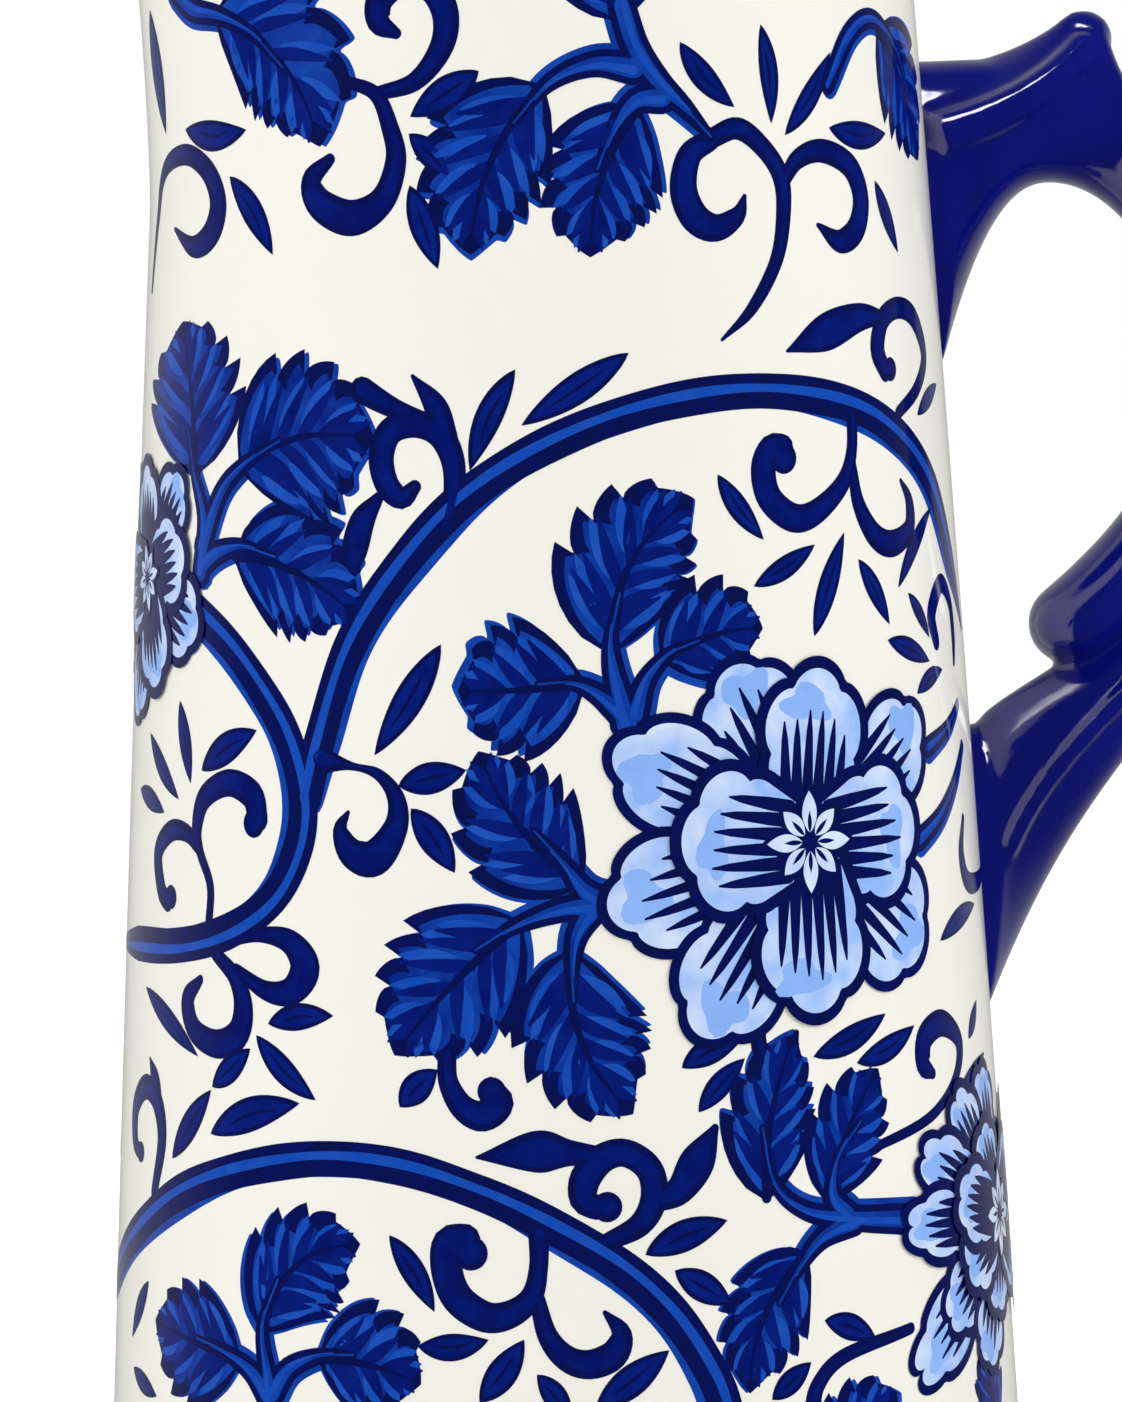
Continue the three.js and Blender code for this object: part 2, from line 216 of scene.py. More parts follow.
def lerp(a, b, t):
    """The value at a part of the way from a to b."""
    return a + (b - a) * t


def wall_radius(height):
    """Radius of the outside of the wall, before the spout is drawn out."""
    jug = bpy.context.scene.jug
    part = (height - jug.foot_height) / (jug.rim_height - jug.foot_height)
    return lerp(jug.radius_low, jug.radius_rim, part) + jug.belly * 4 * part * (1 - part)


def drawn_out(angle, height):
    """How far the spout pulls the wall out and up, at an angle from the handle."""
    jug = bpy.context.scene.jug
    aside = np.abs(np.arctan2(np.sin(angle), -np.cos(angle))) / jug.spout_half
    throat = np.clip((height - jug.rim_height + jug.throat_height) / jug.throat_height, 0, 1)
    lip = np.clip((height - jug.rim_height + jug.lip_height) / jug.lip_height, 0, 1) ** 2
    swell = np.where(aside < 1, np.cos(np.minimum(aside, 1) * math.pi / 2) ** 2, 0)
    beak = swell**jug.beak_power
    pull = jug.throat_swell * throat**jug.throat_power * swell + jug.lip_reach * lip * beak
    return pull, jug.lip_rise * lip * beak


def wall_point(angle, height):
    """A point of the wall's outer face."""
    pull, rise = drawn_out(angle, height)
    radius = wall_radius(height) + pull
    return np.stack([radius * np.cos(angle), radius * np.sin(angle), height + rise], axis=-1)


def wall_normal(angle, height):
    """Outward direction of the wall's outer face."""
    step = 0.0005
    along = wall_point(angle + step, height) - wall_point(angle - step, height)
    up = wall_point(angle, height + step) - wall_point(angle, height - step)
    across = np.cross(along, up)
    return across / np.linalg.norm(across, axis=-1, keepdims=True)


def new_piece(name, points, faces, material):
    """A smooth mesh object at the origin with one material."""
    mesh = bpy.data.meshes.new(name)
    mesh.from_pydata([tuple(p) for p in points], [], faces)
    mesh.validate()
    mesh.materials.append(material)
    mesh.polygons.foreach_set("use_smooth", [True] * len(mesh.polygons))
    mesh.update()
    piece = bpy.data.objects.new(name, mesh)
    bpy.context.scene.collection.objects.link(piece)
    return piece


def face_outward(mesh, weld=0.01 * MM):
    """Weld points that lie together and turn all faces of closed meshes outwards."""
    work = bmesh.new()
    work.from_mesh(mesh)
    bmesh.ops.remove_doubles(work, verts=work.verts, dist=weld)
    bmesh.ops.recalc_face_normals(work, faces=work.faces)
    work.to_mesh(mesh)
    work.free()
    mesh.update()


def ring_faces(rings, sides):
    """Faces between closed rings of points."""
    faces = []
    for side in range(sides):
        ahead = (side + 1) % sides
        for low in range(0, (rings - 1) * sides, sides):
            faces.append((low + side, low + sides + side, low + sides + ahead, low + ahead))
    return faces


def turned_faces(rings, sides):
    """Faces between closed rings of points, with a pole before the first and after the last ring."""
    faces = ring_faces(rings, sides)
    pole = rings * sides
    last = pole - sides
    for side in range(sides):
        ahead = (side + 1) % sides
        faces.append((pole, side, ahead))
        faces.append((pole + 1, last + ahead, last + side))
    return faces


def roll_faces(rings, sides):
    """Faces between closed rings of points, with a flat end on the first and the last ring."""
    last = (rings - 1) * sides
    return ring_faces(rings, sides) + [tuple(range(sides)), tuple(range(last + sides - 1, last - 1, -1))]


def plain_mesh(piece):
    """Give a piece the mesh that its modifiers make, and take the modifiers off."""
    graph = bpy.context.evaluated_depsgraph_get()
    made = bpy.data.meshes.new_from_object(piece.evaluated_get(graph))
    piece.modifiers.clear()
    old = piece.data
    piece.data = made
    made.name = piece.name
    bpy.data.meshes.remove(old)


def feed(tree, node, feeds):
    """Give a node's inputs values or other nodes' outputs."""
    for key, value in feeds.items():
        socket = node.inputs[key]
        if isinstance(value, bpy.types.NodeSocket):
            tree.links.new(value, socket)
        else:
            socket.default_value = value


def add_node(tree, kind, feeds=None, **settings):
    """Add a node, set its settings and feed its inputs."""
    node = tree.nodes.new(kind)
    for key, value in settings.items():
        setattr(node, key, value)
    feed(tree, node, feeds or {})
    return node


def shaded(tint, red, green, blue):
    """A colour with each channel made stronger or weaker."""
    return tuple(min(1.0, c * k) for c, k in zip(tint, (red, green, blue))) + (1.0,)


def new_material(name):
    """An empty material with a shader and an output."""
    material = bpy.data.materials.new(name)
    material.use_nodes = True
    tree = material.node_tree
    tree.nodes.clear()
    shader = add_node(tree, "ShaderNodeBsdfPrincipled")
    add_node(tree, "ShaderNodeOutputMaterial", {"Surface": shader.outputs[0]})
    return material, tree, shader


def cream_glaze():
    """Clear gloss glaze over cream-white earthenware: a warm white with faint clouding and a wet shine."""
    colours = bpy.context.scene.glaze
    material, tree, shader = new_material("clear_glaze_on_cream_earthenware")
    spot = add_node(tree, "ShaderNodeTexCoord").outputs["Object"]
    # The glaze lies a little thicker in patches about 40 mm across.
    cloud = add_node(tree, "ShaderNodeTexNoise", {"Vector": spot, "Scale": 1 / (40 * MM), "Detail": 3.0})
    warm = shaded(colours.cream, 0.975, 0.97, 0.945)
    tint = add_node(
        tree, "ShaderNodeMix", {0: cloud.outputs["Fac"], 6: tuple(colours.cream), 7: warm}, data_type="RGBA"
    )
    # Faint ripples about 9 mm apart, left by throwing and fettling.
    ripple = add_node(tree, "ShaderNodeTexNoise", {"Vector": spot, "Scale": 1 / (9 * MM), "Detail": 1.0})
    bump = add_node(
        tree, "ShaderNodeBump", {"Height": ripple.outputs["Fac"], "Strength": 0.03, "Distance": MM}
    )
    look = {"Base Color": tint.outputs[2], "Normal": bump.outputs[0]}
    feed(tree, shader, {**look, "Roughness": GLAZE_ROUGHNESS, "IOR": GLAZE_IOR})
    return material


def biscuit_clay():
    """Unglazed fired clay: matt and sandy, with darker grains."""
    colours = bpy.context.scene.glaze
    material, tree, shader = new_material("unglazed_biscuit_clay")
    spot = add_node(tree, "ShaderNodeTexCoord").outputs["Object"]
    # Sand grains about 1.2 mm across.
    grain = add_node(tree, "ShaderNodeTexNoise", {"Vector": spot, "Scale": 1 / (1.2 * MM), "Detail": 4.0})
    dark = shaded(colours.biscuit, 0.72, 0.72, 0.72)
    tint = add_node(
        tree, "ShaderNodeMix", {0: grain.outputs["Fac"], 6: tuple(colours.biscuit), 7: dark}, data_type="RGBA"
    )
    bump = add_node(
        tree, "ShaderNodeBump", {"Height": grain.outputs["Fac"], "Strength": 0.25, "Distance": 0.4 * MM}
    )
    feed(tree, shader, {"Base Color": tint.outputs[2], "Normal": bump.outputs[0], "Roughness": 0.85})
    return material


def cobalt_glaze():
    """Deep cobalt gloss glaze on moulded clay: nearly black in the hollows, bluer where it runs thin."""
    colours = bpy.context.scene.glaze
    material, tree, shader = new_material("deep_cobalt_gloss_glaze")
    spot = add_node(tree, "ShaderNodeTexCoord").outputs["Object"]
    # Runs in the glaze, about 14 mm across and drawn out downwards.
    runs = add_node(tree, "ShaderNodeMapping", {"Vector": spot, "Scale": (1.0, 1.0, 0.35)})
    pool = add_node(
        tree, "ShaderNodeTexNoise", {"Vector": runs.outputs[0], "Scale": 1 / (14 * MM), "Detail": 3.0}
    )
    thin = shaded(colours.handle, 1.5, 1.9, 1.5)
    thick = shaded(colours.handle, 0.6, 0.6, 0.6)
    tint = add_node(tree, "ShaderNodeMix", {0: pool.outputs["Fac"], 6: thick, 7: thin}, data_type="RGBA")
    # Soft unevenness of the glaze, about 7 mm across.
    ripple = add_node(tree, "ShaderNodeTexNoise", {"Vector": spot, "Scale": 1 / (7 * MM), "Detail": 1.0})
    bump = add_node(
        tree, "ShaderNodeBump", {"Height": ripple.outputs["Fac"], "Strength": 0.26, "Distance": MM}
    )
    look = {"Base Color": tint.outputs[2], "Normal": bump.outputs[0]}
    coat = {"Coat Weight": 1.0, "Coat Roughness": 0.03}
    feed(tree, shader, {**look, **coat, "Roughness": GLAZE_ROUGHNESS, "IOR": 1.52})
    return material


def body_profile():
    """Radius and height of points along a cut through the body, from below the floor round to above it."""
    jug = bpy.context.scene.jug
    profile = []
    low = jug.foot_height
    corner = wall_radius(low + jug.foot_round) - jug.foot_round
    for part in np.linspace(0.2, 0.95, 8):
        profile.append((corner * part, low))
    for angle in np.linspace(0, math.pi / 2, 9):
        profile.append(
            (corner + jug.foot_round * math.sin(angle), low + jug.foot_round * (1 - math.cos(angle)))
        )
    lip = jug.wall / 2
    throat = jug.rim_height - jug.throat_height
    for height in np.linspace(low + jug.foot_round, throat, 46)[1:]:
        profile.append((wall_radius(height), height))
    for height in np.linspace(throat, jug.rim_height - lip, 52)[1:]:
        profile.append((wall_radius(height), height))
    for angle in np.linspace(0, math.pi, 13)[1:-1]:
        height = jug.rim_height - lip + lip * math.sin(angle)
        profile.append((wall_radius(height) - lip + lip * math.cos(angle), height))
    bend = jug.floor_round
    for height in np.linspace(jug.rim_height - lip, throat, 30):
        profile.append((wall_radius(height) - jug.wall, height))
    for height in np.linspace(throat, jug.floor + bend, 24)[1:]:
        profile.append((wall_radius(height) - jug.wall, height))
    inner = wall_radius(jug.floor + bend) - jug.wall - bend
    for angle in np.linspace(0, math.pi / 2, 9)[1:]:
        profile.append((inner + bend * math.cos(angle), jug.floor + bend * (1 - math.sin(angle))))
    for part in np.linspace(0.9, 0.1, 6):
        profile.append((inner * part, jug.floor))
    return np.array(profile)


class PITCHER_OT_body(bpy.types.Operator):
    """Throw the body with its spout, glazed inside and out, on its dry foot"""

    bl_idname = "pitcher.body"
    bl_label = "Glazed body"

    def execute(self, context):
        jug = context.scene.jug
        profile = body_profile()
        sides = 256
        angles = np.arange(sides) * 2 * math.pi / sides
        rings = []
        for radius, height in profile:
            pull, rise = drawn_out(angles, height)
            reach = radius + pull * np.clip(radius / wall_radius(height), 0, 1)
            rings.append(np.stack([reach * np.cos(angles), reach * np.sin(angles), height + rise], axis=-1))
        points = np.concatenate(rings + [[[0, 0, jug.foot_height]], [[0, 0, jug.floor]]])
        body = new_piece("glazed_body", points, turned_faces(len(rings), sides), cream_glaze())
        face_outward(body.data)
        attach(body, "root")
        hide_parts("body_wall", "pouring_spout")

        edge = jug.radius_low - jug.foot_setback
        top = jug.foot_height
        soft = 0.8 * MM
        ring = 9 * MM
        hollow = jug.foot_hollow
        foot = [(edge * 0.4, top), (edge - soft, top)]
        foot += [(edge, top - 0.3 * soft), (edge, soft), (edge - 0.3 * soft, 0.3 * soft), (edge - soft, 0)]
        foot += [(edge - ring, 0), (edge - ring - soft, 0.2 * soft), (edge - ring - 2.5 * soft, hollow)]
        foot += [(edge * part, hollow) for part in (0.7, 0.5, 0.3, 0.1)]
        rings = [
            np.stack([r * np.cos(angles), r * np.sin(angles), np.full(sides, z)], axis=-1) for r, z in foot
        ]
        points = np.concatenate(rings + [[[0, 0, top]], [[0, 0, hollow]]])
        base = new_piece("dry_foot", points, turned_faces(len(rings), sides), biscuit_clay())
        face_outward(base.data)
        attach(base, "root")
        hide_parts("base_disc")
        return {"FINISHED"}


def quadratic(a, b, c, t):
    """The point at a part of a curve from a to c that bends towards b."""
    return tuple((1 - t) ** 2 * p + 2 * t * (1 - t) * q + t * t * r for p, q, r in zip(a, b, c))


def cubic(a, b, c, d, t):
    """The point at a part of a curve from a to d that bends towards b and c."""
    return tuple(
        (1 - t) ** 3 * p + 3 * t * (1 - t) ** 2 * q + 3 * t * t * (1 - t) * r + t**3 * s
        for p, q, r, s in zip(a, b, c, d)
    )


def square_cuts(centres, depths, widths, arris):
    """Cuts of a clay roll square to a flat path of (x, z) points."""
    cuts = []
    last = len(centres) - 1
    for i, (x, z) in enumerate(centres):
        before = centres[max(i - 1, 0)]
        after = centres[min(i + 1, last)]
        lean = math.atan2(after[1] - before[1], after[0] - before[0])
        cuts.append((x, z, lean, depths[i], widths[i], arris))
    return cuts


def thumbed_end(cut, reach):
    """Shrinking cuts that close a roll like a thumb tip."""
    x, z, lean, depth, width, arris = cut
    cuts = []
    for angle in np.linspace(0, math.pi / 2, 9)[1:-1]:
        run = reach * math.sin(angle)
        small = math.cos(angle)
        place = (x + run * math.cos(lean), z + run * math.sin(lean))
        cuts.append((*place, lean, depth * small, width * small, arris))
    return cuts


def clay_roll(cuts):
    """Points and faces of a closed roll through its cuts, with an arris on each flank and a round back."""
    sides = 48
    points = []
    for x, z, lean, depth, width, arris in cuts:
        for side in range(sides):
            angle = side / sides * 2 * math.pi
            out = math.cos(angle) * depth / 2
            bulge = (1 - arris) * abs(math.sin(angle)) + arris * (1 - abs(math.cos(angle)))
            across = math.copysign(bulge, math.sin(angle)) * width / 2
            points.append((x - out * math.sin(lean), across, z + out * math.cos(lean)))
    return points, roll_faces(len(cuts), sides)


def bow_cuts():
    """The flared upper root, the arch down to the grip and the rolled end."""
    bow = bpy.context.scene.handle
    wall = wall_radius(bow.upper_root)
    cuts = [(wall - bow.root_sunk, bow.upper_root, 0, bow.upper_length, bow.root_width, 0.1)]
    for t in np.linspace(0, 1, 22):
        flare = (1 - t) ** bow.root_power
        cuts.append(
            (
                wall + lerp(ROOT_CLEAR, bow.crown_reach, t),
                lerp(bow.crown_height, bow.upper_root, flare),
                0,
                lerp(bow.crown_depth, bow.upper_length, flare),
                lerp(bow.bow_width, bow.root_width, flare),
                0.1,
            )
        )
    across = bow.grip_reach - bow.crown_reach
    high = bow.crown_height - bow.grip_height
    for angle in np.linspace(math.pi / 2, 0, 30)[1:]:
        lean = math.atan2(math.sin(angle) / high, math.cos(angle) / across) - math.pi / 2
        depth = lerp(bow.grip_depth, bow.crown_depth, math.sin(angle) ** 2)
        x = wall + bow.crown_reach + across * math.cos(angle)
        cuts.append((x, bow.grip_height + high * math.sin(angle), lean, depth, bow.bow_width, 0.14))
    steps = np.linspace(0, 1, 26)[1:]
    start = (wall + bow.grip_reach, bow.grip_height)
    bend = (wall + bow.grip_reach, bow.bend_height)
    end = (wall + bow.scroll_reach, bow.scroll_height)
    path = [quadratic(start, bend, end, t) for t in steps]
    depths = [lerp(bow.grip_depth, bow.scroll_depth, t * t) for t in steps]
    scroll = square_cuts(path, depths, [bow.bow_width] * len(path), 0.16)
    return cuts + scroll + thumbed_end(scroll[-1], bow.scroll_depth / 2)


def branch_cuts():
    """The flared lower root and the arm that rises along the back of the bow."""
    arm = bpy.context.scene.handle
    wall = wall_radius(arm.lower_root)
    rise = arm.branch_top - arm.lower_root
    cuts = [(wall - arm.root_sunk, arm.lower_root, 0, arm.lower_length, arm.root_width, 0.2)]
    start = (wall + ROOT_CLEAR, arm.lower_root)
    low = (wall + arm.branch_reach * 0.24, arm.lower_root + rise * 0.4)
    high = (wall + arm.branch_reach * 0.82, arm.lower_root + rise * 0.48)
    end = (wall + arm.branch_reach, arm.branch_top)
    for t in np.linspace(0, 1, 44):
        x, z = cubic(start, low, high, end, t)
        flare = (1 - t) ** (arm.root_power * 2)
        depth = lerp(lerp(arm.branch_depth, arm.branch_tip_depth, t * t), arm.lower_length, flare)
        width = lerp(lerp(arm.branch_width, arm.branch_tip_width, t * t), arm.root_width, flare)
        cuts.append((x, z, arm.branch_lean * t, depth, width, arm.arris))
    return cuts + thumbed_end(cuts[-1], arm.branch_tip_depth / 2)


def seam_beads(side):
    """The fine moulded seam along the middle of the lower arm on one flank."""
    cuts = branch_cuts()[3:40]
    return [(x, side * (width / 2 - SEAM_SUNK), z, SEAM_RADIUS) for x, z, _, _, width, _ in cuts]


def spur_line(t):
    """The middle of the spur at a part of its length, as reach and height, and its width."""
    wall = wall_radius(bpy.context.scene.handle.upper_root)
    start, bend, end = [(wall + reach * MM, height * MM) for reach, height in SPUR_PATH]
    return quadratic(start, bend, end, t), lerp(*SPUR_WIDTHS, t**1.8) * MM


def spur_cuts():
    """The thumb spur: a pinched crest, ridged on each flank, from the root to a tip past the crown."""
    steps = np.linspace(0, 1, 24)
    path = [spur_line(t)[0] for t in steps]
    depths = [lerp(*SPUR_DEPTHS, t**0.8) * MM for t in steps]
    widths = [spur_line(t)[1] for t in steps]
    cuts = square_cuts(path, depths, widths, 0.60)
    return cuts + thumbed_end(cuts[-1], SPUR_DEPTHS[1] / 2 * MM)


def crest_beads(side):
    """The round crest along the spur's ridge on one flank."""
    points = []
    for t in np.linspace(0.03, 0.97, 18):
        (x, z), width = spur_line(t)
        radius = lerp(*CREST_RADII, t) * MM
        points.append((x, side * (width / 2 - radius * 0.72), z, radius))
    return points


def heel_beads(side):
    """The second ridge of the spur, which runs down its outer corner on one flank into the bow."""
    wall = wall_radius(bpy.context.scene.handle.upper_root)
    points = []
    for t in np.linspace(0, 1, 14):
        x, y, z = quadratic(*HEEL_PATH, t)
        points.append((wall + x * MM, side * y * MM, z * MM, lerp(*HEEL_RADII, t) * MM))
    return points


def bead_chain(points):
    """A round roll of varying thickness through points in space."""
    sides = 20
    verts = []
    last = len(points) - 1
    for i, (x, y, z, radius) in enumerate(points):
        before = Vector(points[max(i - 1, 0)][:3])
        after = Vector(points[min(i + 1, last)][:3])
        frame_turn = (after - before).to_track_quat("Z", "Y")
        for side in range(sides):
            angle = side / sides * 2 * math.pi
            offset = Vector((math.cos(angle) * radius, math.sin(angle) * radius, 0))
            verts.append(tuple(Vector((x, y, z)) + frame_turn @ offset))
    return verts, roll_faces(len(points), sides)


class PITCHER_OT_handle(bpy.types.Operator):
    """Model the handle from clay rolls, join them and smooth the joints as the glaze does"""

    bl_idname = "pitcher.handle"
    bl_label = "Cobalt handle"

    def execute(self, context):
        rolls = [clay_roll(bow_cuts()), clay_roll(branch_cuts()), clay_roll(spur_cuts())]
        for side in (1, -1):
            rolls += [bead_chain(beads(side)) for beads in (crest_beads, heel_beads, seam_beads)]
        points = []
        faces = []
        for roll_points, roll_faces in rolls:
            faces += [tuple(i + len(points) for i in face) for face in roll_faces]
            points += roll_points
        handle = new_piece("cobalt_handle", points, faces, cobalt_glaze())
        face_outward(handle.data, 0.0)
        join = handle.modifiers.new("join", "REMESH")
        join.mode = "VOXEL"
        join.voxel_size = context.scene.handle.voxel
        join.use_smooth_shade = True
        soften = handle.modifiers.new("soften", "SMOOTH")
        soften.factor = 0.5
        soften.iterations = 10
        plain_mesh(handle)
        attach(handle, "root")
        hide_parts("handle_bow", "handle_branch", "upper_luting", "lower_luting")
        return {"FINISHED"}


def camera_axes():
    """The camera's right, up and backward directions, and the point that it aims at."""
    stage = bpy.context.scene.stage
    side = Vector((math.cos(stage.azimuth), math.sin(stage.azimuth), 0))
    back = Vector(
        (
            math.sin(stage.azimuth) * math.cos(stage.elevation),
            -math.cos(stage.azimuth) * math.cos(stage.elevation),
            math.sin(stage.elevation),
        )
    )
    up = back.cross(side)
    right = side * math.cos(stage.roll) - up * math.sin(stage.roll)
    upright = up * math.cos(stage.roll) + side * math.sin(stage.roll)
    aim = side * stage.aim_side + Vector((0, 0, stage.aim_height))
    return right, upright, back, aim


class PITCHER_OT_stage(bpy.types.Operator):
    """Set the camera, the pale floor and the soft studio light"""

    bl_idname = "pitcher.stage"
    bl_label = "Stage"

    def execute(self, context):
        scene = context.scene
        stage = scene.stage
        right, upright, back, aim = camera_axes()
        optics = bpy.data.cameras.new("camera")
        optics.sensor_width = 36.0
        optics.lens = optics.sensor_width * stage.distance / stage.frame_height
        optics.clip_end = 100.0
        camera = bpy.data.objects.new("camera", optics)
        place = Matrix((right, upright, back)).transposed().to_4x4()
        place.translation = aim + back * stage.distance
        camera.matrix_world = place
        scene.collection.objects.link(camera)
        scene.camera = camera
        scene.view_settings.view_transform = "Standard"

        material, tree, shader = new_material("pale_studio_floor")
        # The floor is seen as white as the room, and still takes the jug's shadow.
        path = add_node(tree, "ShaderNodeLightPath")
        lifted = add_node(
            tree, "ShaderNodeMath", {0: path.outputs["Is Camera Ray"], 1: stage.floor}, operation="MULTIPLY"
        )
        feed(tree, shader, {"Base Color": linear("F4F3F1"), "Roughness": 0.7})
        feed(tree, shader, {"Emission Color": (1.0, 1.0, 1.0, 1.0), "Emission Strength": lifted.outputs[0]})
        span = 6.0
        drop = -0.4 * MM
        corners = [(-span, -span, drop), (span, -span, drop), (span, span, drop), (-span, span, drop)]
        floor = new_piece("studio_floor", corners, [(0, 1, 2, 3)], material)
        floor.visible_glossy = False

        lamps = [
            ("key_lamp", (1.35, -0.6, 0.75), 0.9, 0.9, stage.key, True, False),
            ("fill_lamp", (-1.4, -0.25, 0.5), 0.7, 0.7, stage.fill, True, False),
            ("top_lamp", (0.1, 0.05, 1.5), 0.8, 0.8, stage.top, True, False),
            ("front_lamp", (-0.1, -1.3, 0.9), 0.8, 0.8, stage.front, True, False),
            ("spark_lamp", (-0.1, -0.3, 1.35), 0.8, 0.34, stage.spark, False, True),
        ]
        for name, spot, width, depth, power, lit, mirrored in lamps:
            lamp = bpy.data.lights.new(name, "AREA")
            lamp.shape = "RECTANGLE"
            lamp.size = width
            lamp.size_y = depth
            lamp.energy = power
            piece = bpy.data.objects.new(name, lamp)
            piece.location = spot
            # The large lamps light the glaze but leave no glare on it. The spark is only mirrored.
            piece.visible_diffuse = lit
            piece.visible_glossy = mirrored
            toward = Vector((0, 0, stage.aim_height)) - Vector(spot)
            piece.rotation_euler = toward.to_track_quat("-Z", "Y").to_euler()
            scene.collection.objects.link(piece)

        world = bpy.data.worlds.new("studio")
        scene.world = world
        world.use_nodes = True
        tree = world.node_tree
        tree.nodes.clear()
        path = add_node(tree, "ShaderNodeLightPath")
        # The room is white behind the jug and darker in front of it, as a studio is, and seen white.
        way = add_node(tree, "ShaderNodeTexCoord")
        split = add_node(tree, "ShaderNodeSeparateXYZ", {0: way.outputs["Generated"]})
        behind = add_node(
            tree,
            "ShaderNodeMapRange",
            {"Value": split.outputs["Y"], "From Min": 0.1, "From Max": 0.95, "To Min": 0.03, "To Max": 0.34},
            interpolation_type="SMOOTHSTEP",
        )
        values = {"glossy": path.outputs["Is Glossy Ray"], "camera": path.outputs["Is Camera Ray"]}
        values["behind"] = behind.outputs[0]
        steps = (
            ("shine", "MULTIPLY", "glossy", "behind"),
            ("dull", "SUBTRACT", 1.0, "glossy"),
            ("ambient", "MULTIPLY", "dull", stage.room),
            ("level", "ADD", "shine", "ambient"),
            ("seen", "MAXIMUM", "camera", "level"),
        )
        for name, operation, first, second in steps:
            feeds = {0: values.get(first, first), 1: values.get(second, second)}
            values[name] = add_node(tree, "ShaderNodeMath", feeds, operation=operation).outputs[0]
        light = add_node(tree, "ShaderNodeBackground", {"Color": (1, 1, 1, 1), "Strength": values["seen"]})
        add_node(tree, "ShaderNodeOutputWorld", {"Surface": light.outputs[0]})
        return {"FINISHED"}


# The drawing. Points are millimetres right of and above the middle of the camera's frame, at the jug's axis,
# and a third number is a width. The vine is a traditional one, laid out as on the jug and drawn afresh.
# Vines: how far each runs on before and after what the camera sees, and its points.
VINES = [
    (0, 12, [(-36.4, -14), (-34.6, -6), (-30.4, 7.3), (-23.4, 18.7), (-13.4, 29.4), (-0.4, 37.3),
     (14, 42.4), (28.4, 44.3), (41.3, 42.4), (48.6, 37.6), (53, 30.6), (55.6, 20)]),
    (0, 16, [(-53.4, 14.6), (-47.6, 8.4), (-42.4, 1.0), (-38.8, -6), (-36.9, -14.1), (-37.7, -21.3),
     (-41.2, -28.2), (-47.3, -32.8), (-54.4, -34.9), (-60.4, -34.6)]),
    (14, 7, [(-63.2, -81.3), (-60.1, -75.2), (-54.4, -70.2), (-45.9, -67), (-34.4, -65.4), (-23, -66.6),
     (-11.6, -70.3), (-1.6, -74.9), (8.4, -80.7), (15.6, -87.1), (20.6, -94.2), (23.4, -100.6),
     (24.2, -109)]),
]
# Stalks of the leaves and flowers.
STEMS = [
    [(52.4, -6.6, 3.4), (55.2, -3.6, 3.2), (56.6, 0, 2.2)],
    [(51.2, -19.8, 3.8), (54.2, -16.2, 3.8), (56.2, -11.2, 3.4), (57.2, -6, 2.4)],
    [(9.4, -3.4, 5.2), (8.4, 0.4, 5.0), (7.3, 5.4, 4.6), (7.2, 9.4, 3.8), (8.4, 15.4, 2.6)],
    [(9.0, -2.2, 4.6), (5.2, 1.0, 4.4), (1.6, 2.6, 3.8), (-3.2, 2.4, 2.6)],
    [(10.6, -2.0, 4.4), (12.2, 3.0, 4.2), (15.6, 6.8, 3.6), (19.6, 8.6, 2.4)],
    [(6.2, -28.8, 5.2), (3.4, -27.2, 4.8), (0.4, -23.2, 4.0), (-3.8, -18.6, 2.6)],
    [(5.0, -29.4, 4.8), (0.2, -29.8, 4.6), (-6.6, -32.2, 4.0), (-12.2, -35.6, 2.6)],
    [(5.0, -29.2, 4.8), (2.4, -33.2, 4.6), (1.6, -37.6, 4.0), (1.8, -43, 2.4)],
    [(-51.4, 18.4, 5.0), (-51, 26, 4.8), (-52.4, 33, 4.0), (-53.2, 39, 2.6)],
    [(-51.2, 22, 4.8), (-48.6, 29.6, 4.6), (-45.4, 33.6, 4.2), (-40.2, 37.2, 2.8)],
    [(-51.4, 19.2, 4.6), (-49, 21.2, 4.6), (-45.4, 22, 4.0), (-40.8, 20.6, 2.8)],
    [(50.4, -74.0, 5.0), (41, -73.8, 5.0), (34.6, -72.6, 4.6), (30.4, -68.6, 4.0), (28.8, -61, 2.6)],
    [(41, -73.4, 4.6), (38.8, -70.4, 4.4), (39.8, -64.8, 3.4), (42.8, -60, 2.4)],
    [(42, -74.2, 4.8), (37.4, -76.6, 4.6), (34.2, -80.6, 4.0), (31.2, -86, 2.6)],
    [(-41.6, -103, 5.2), (-41.8, -97.2, 4.8), (-42.6, -89.4, 4.0), (-40.4, -82.6, 2.6)],
    [(-42, -99.2, 4.6), (-44.4, -95.6, 4.4), (-48.2, -92.8, 3.8), (-52, -91, 2.4)],
    [(-41.2, -99, 4.6), (-38.8, -95.4, 4.4), (-34.6, -93.6, 3.8), (-29.6, -93.4, 2.4)],
    [(-55, 101.4, 4.6), (-52.6, 98.8, 4.6), (-48.6, 97.8, 4.2), (-44, 95.2, 3.6), (-39.8, 90.6, 2.6)],
    [(10.4, 90.4, 5.2), (4.6, 91, 4.8), (-1.6, 88.4, 4.2), (-6.8, 82.6, 2.8)],
    [(14.4, 86.2, 5.0), (10.6, 85.6, 4.8), (7.4, 81.4, 4.0), (5.2, 76, 2.6)],
    [(8.6, 99.4, 4.4), (10.6, 93.4, 5.4), (13.8, 88.6, 6.0), (17.6, 84.8, 5.4), (21.4, 80.6, 3.4)],
    [(38, 88, 3.0), (41.2, 95.4, 4.4), (44.6, 97.4, 4.2), (48, 92.4, 3.2), (49.6, 86, 2.4)],
]
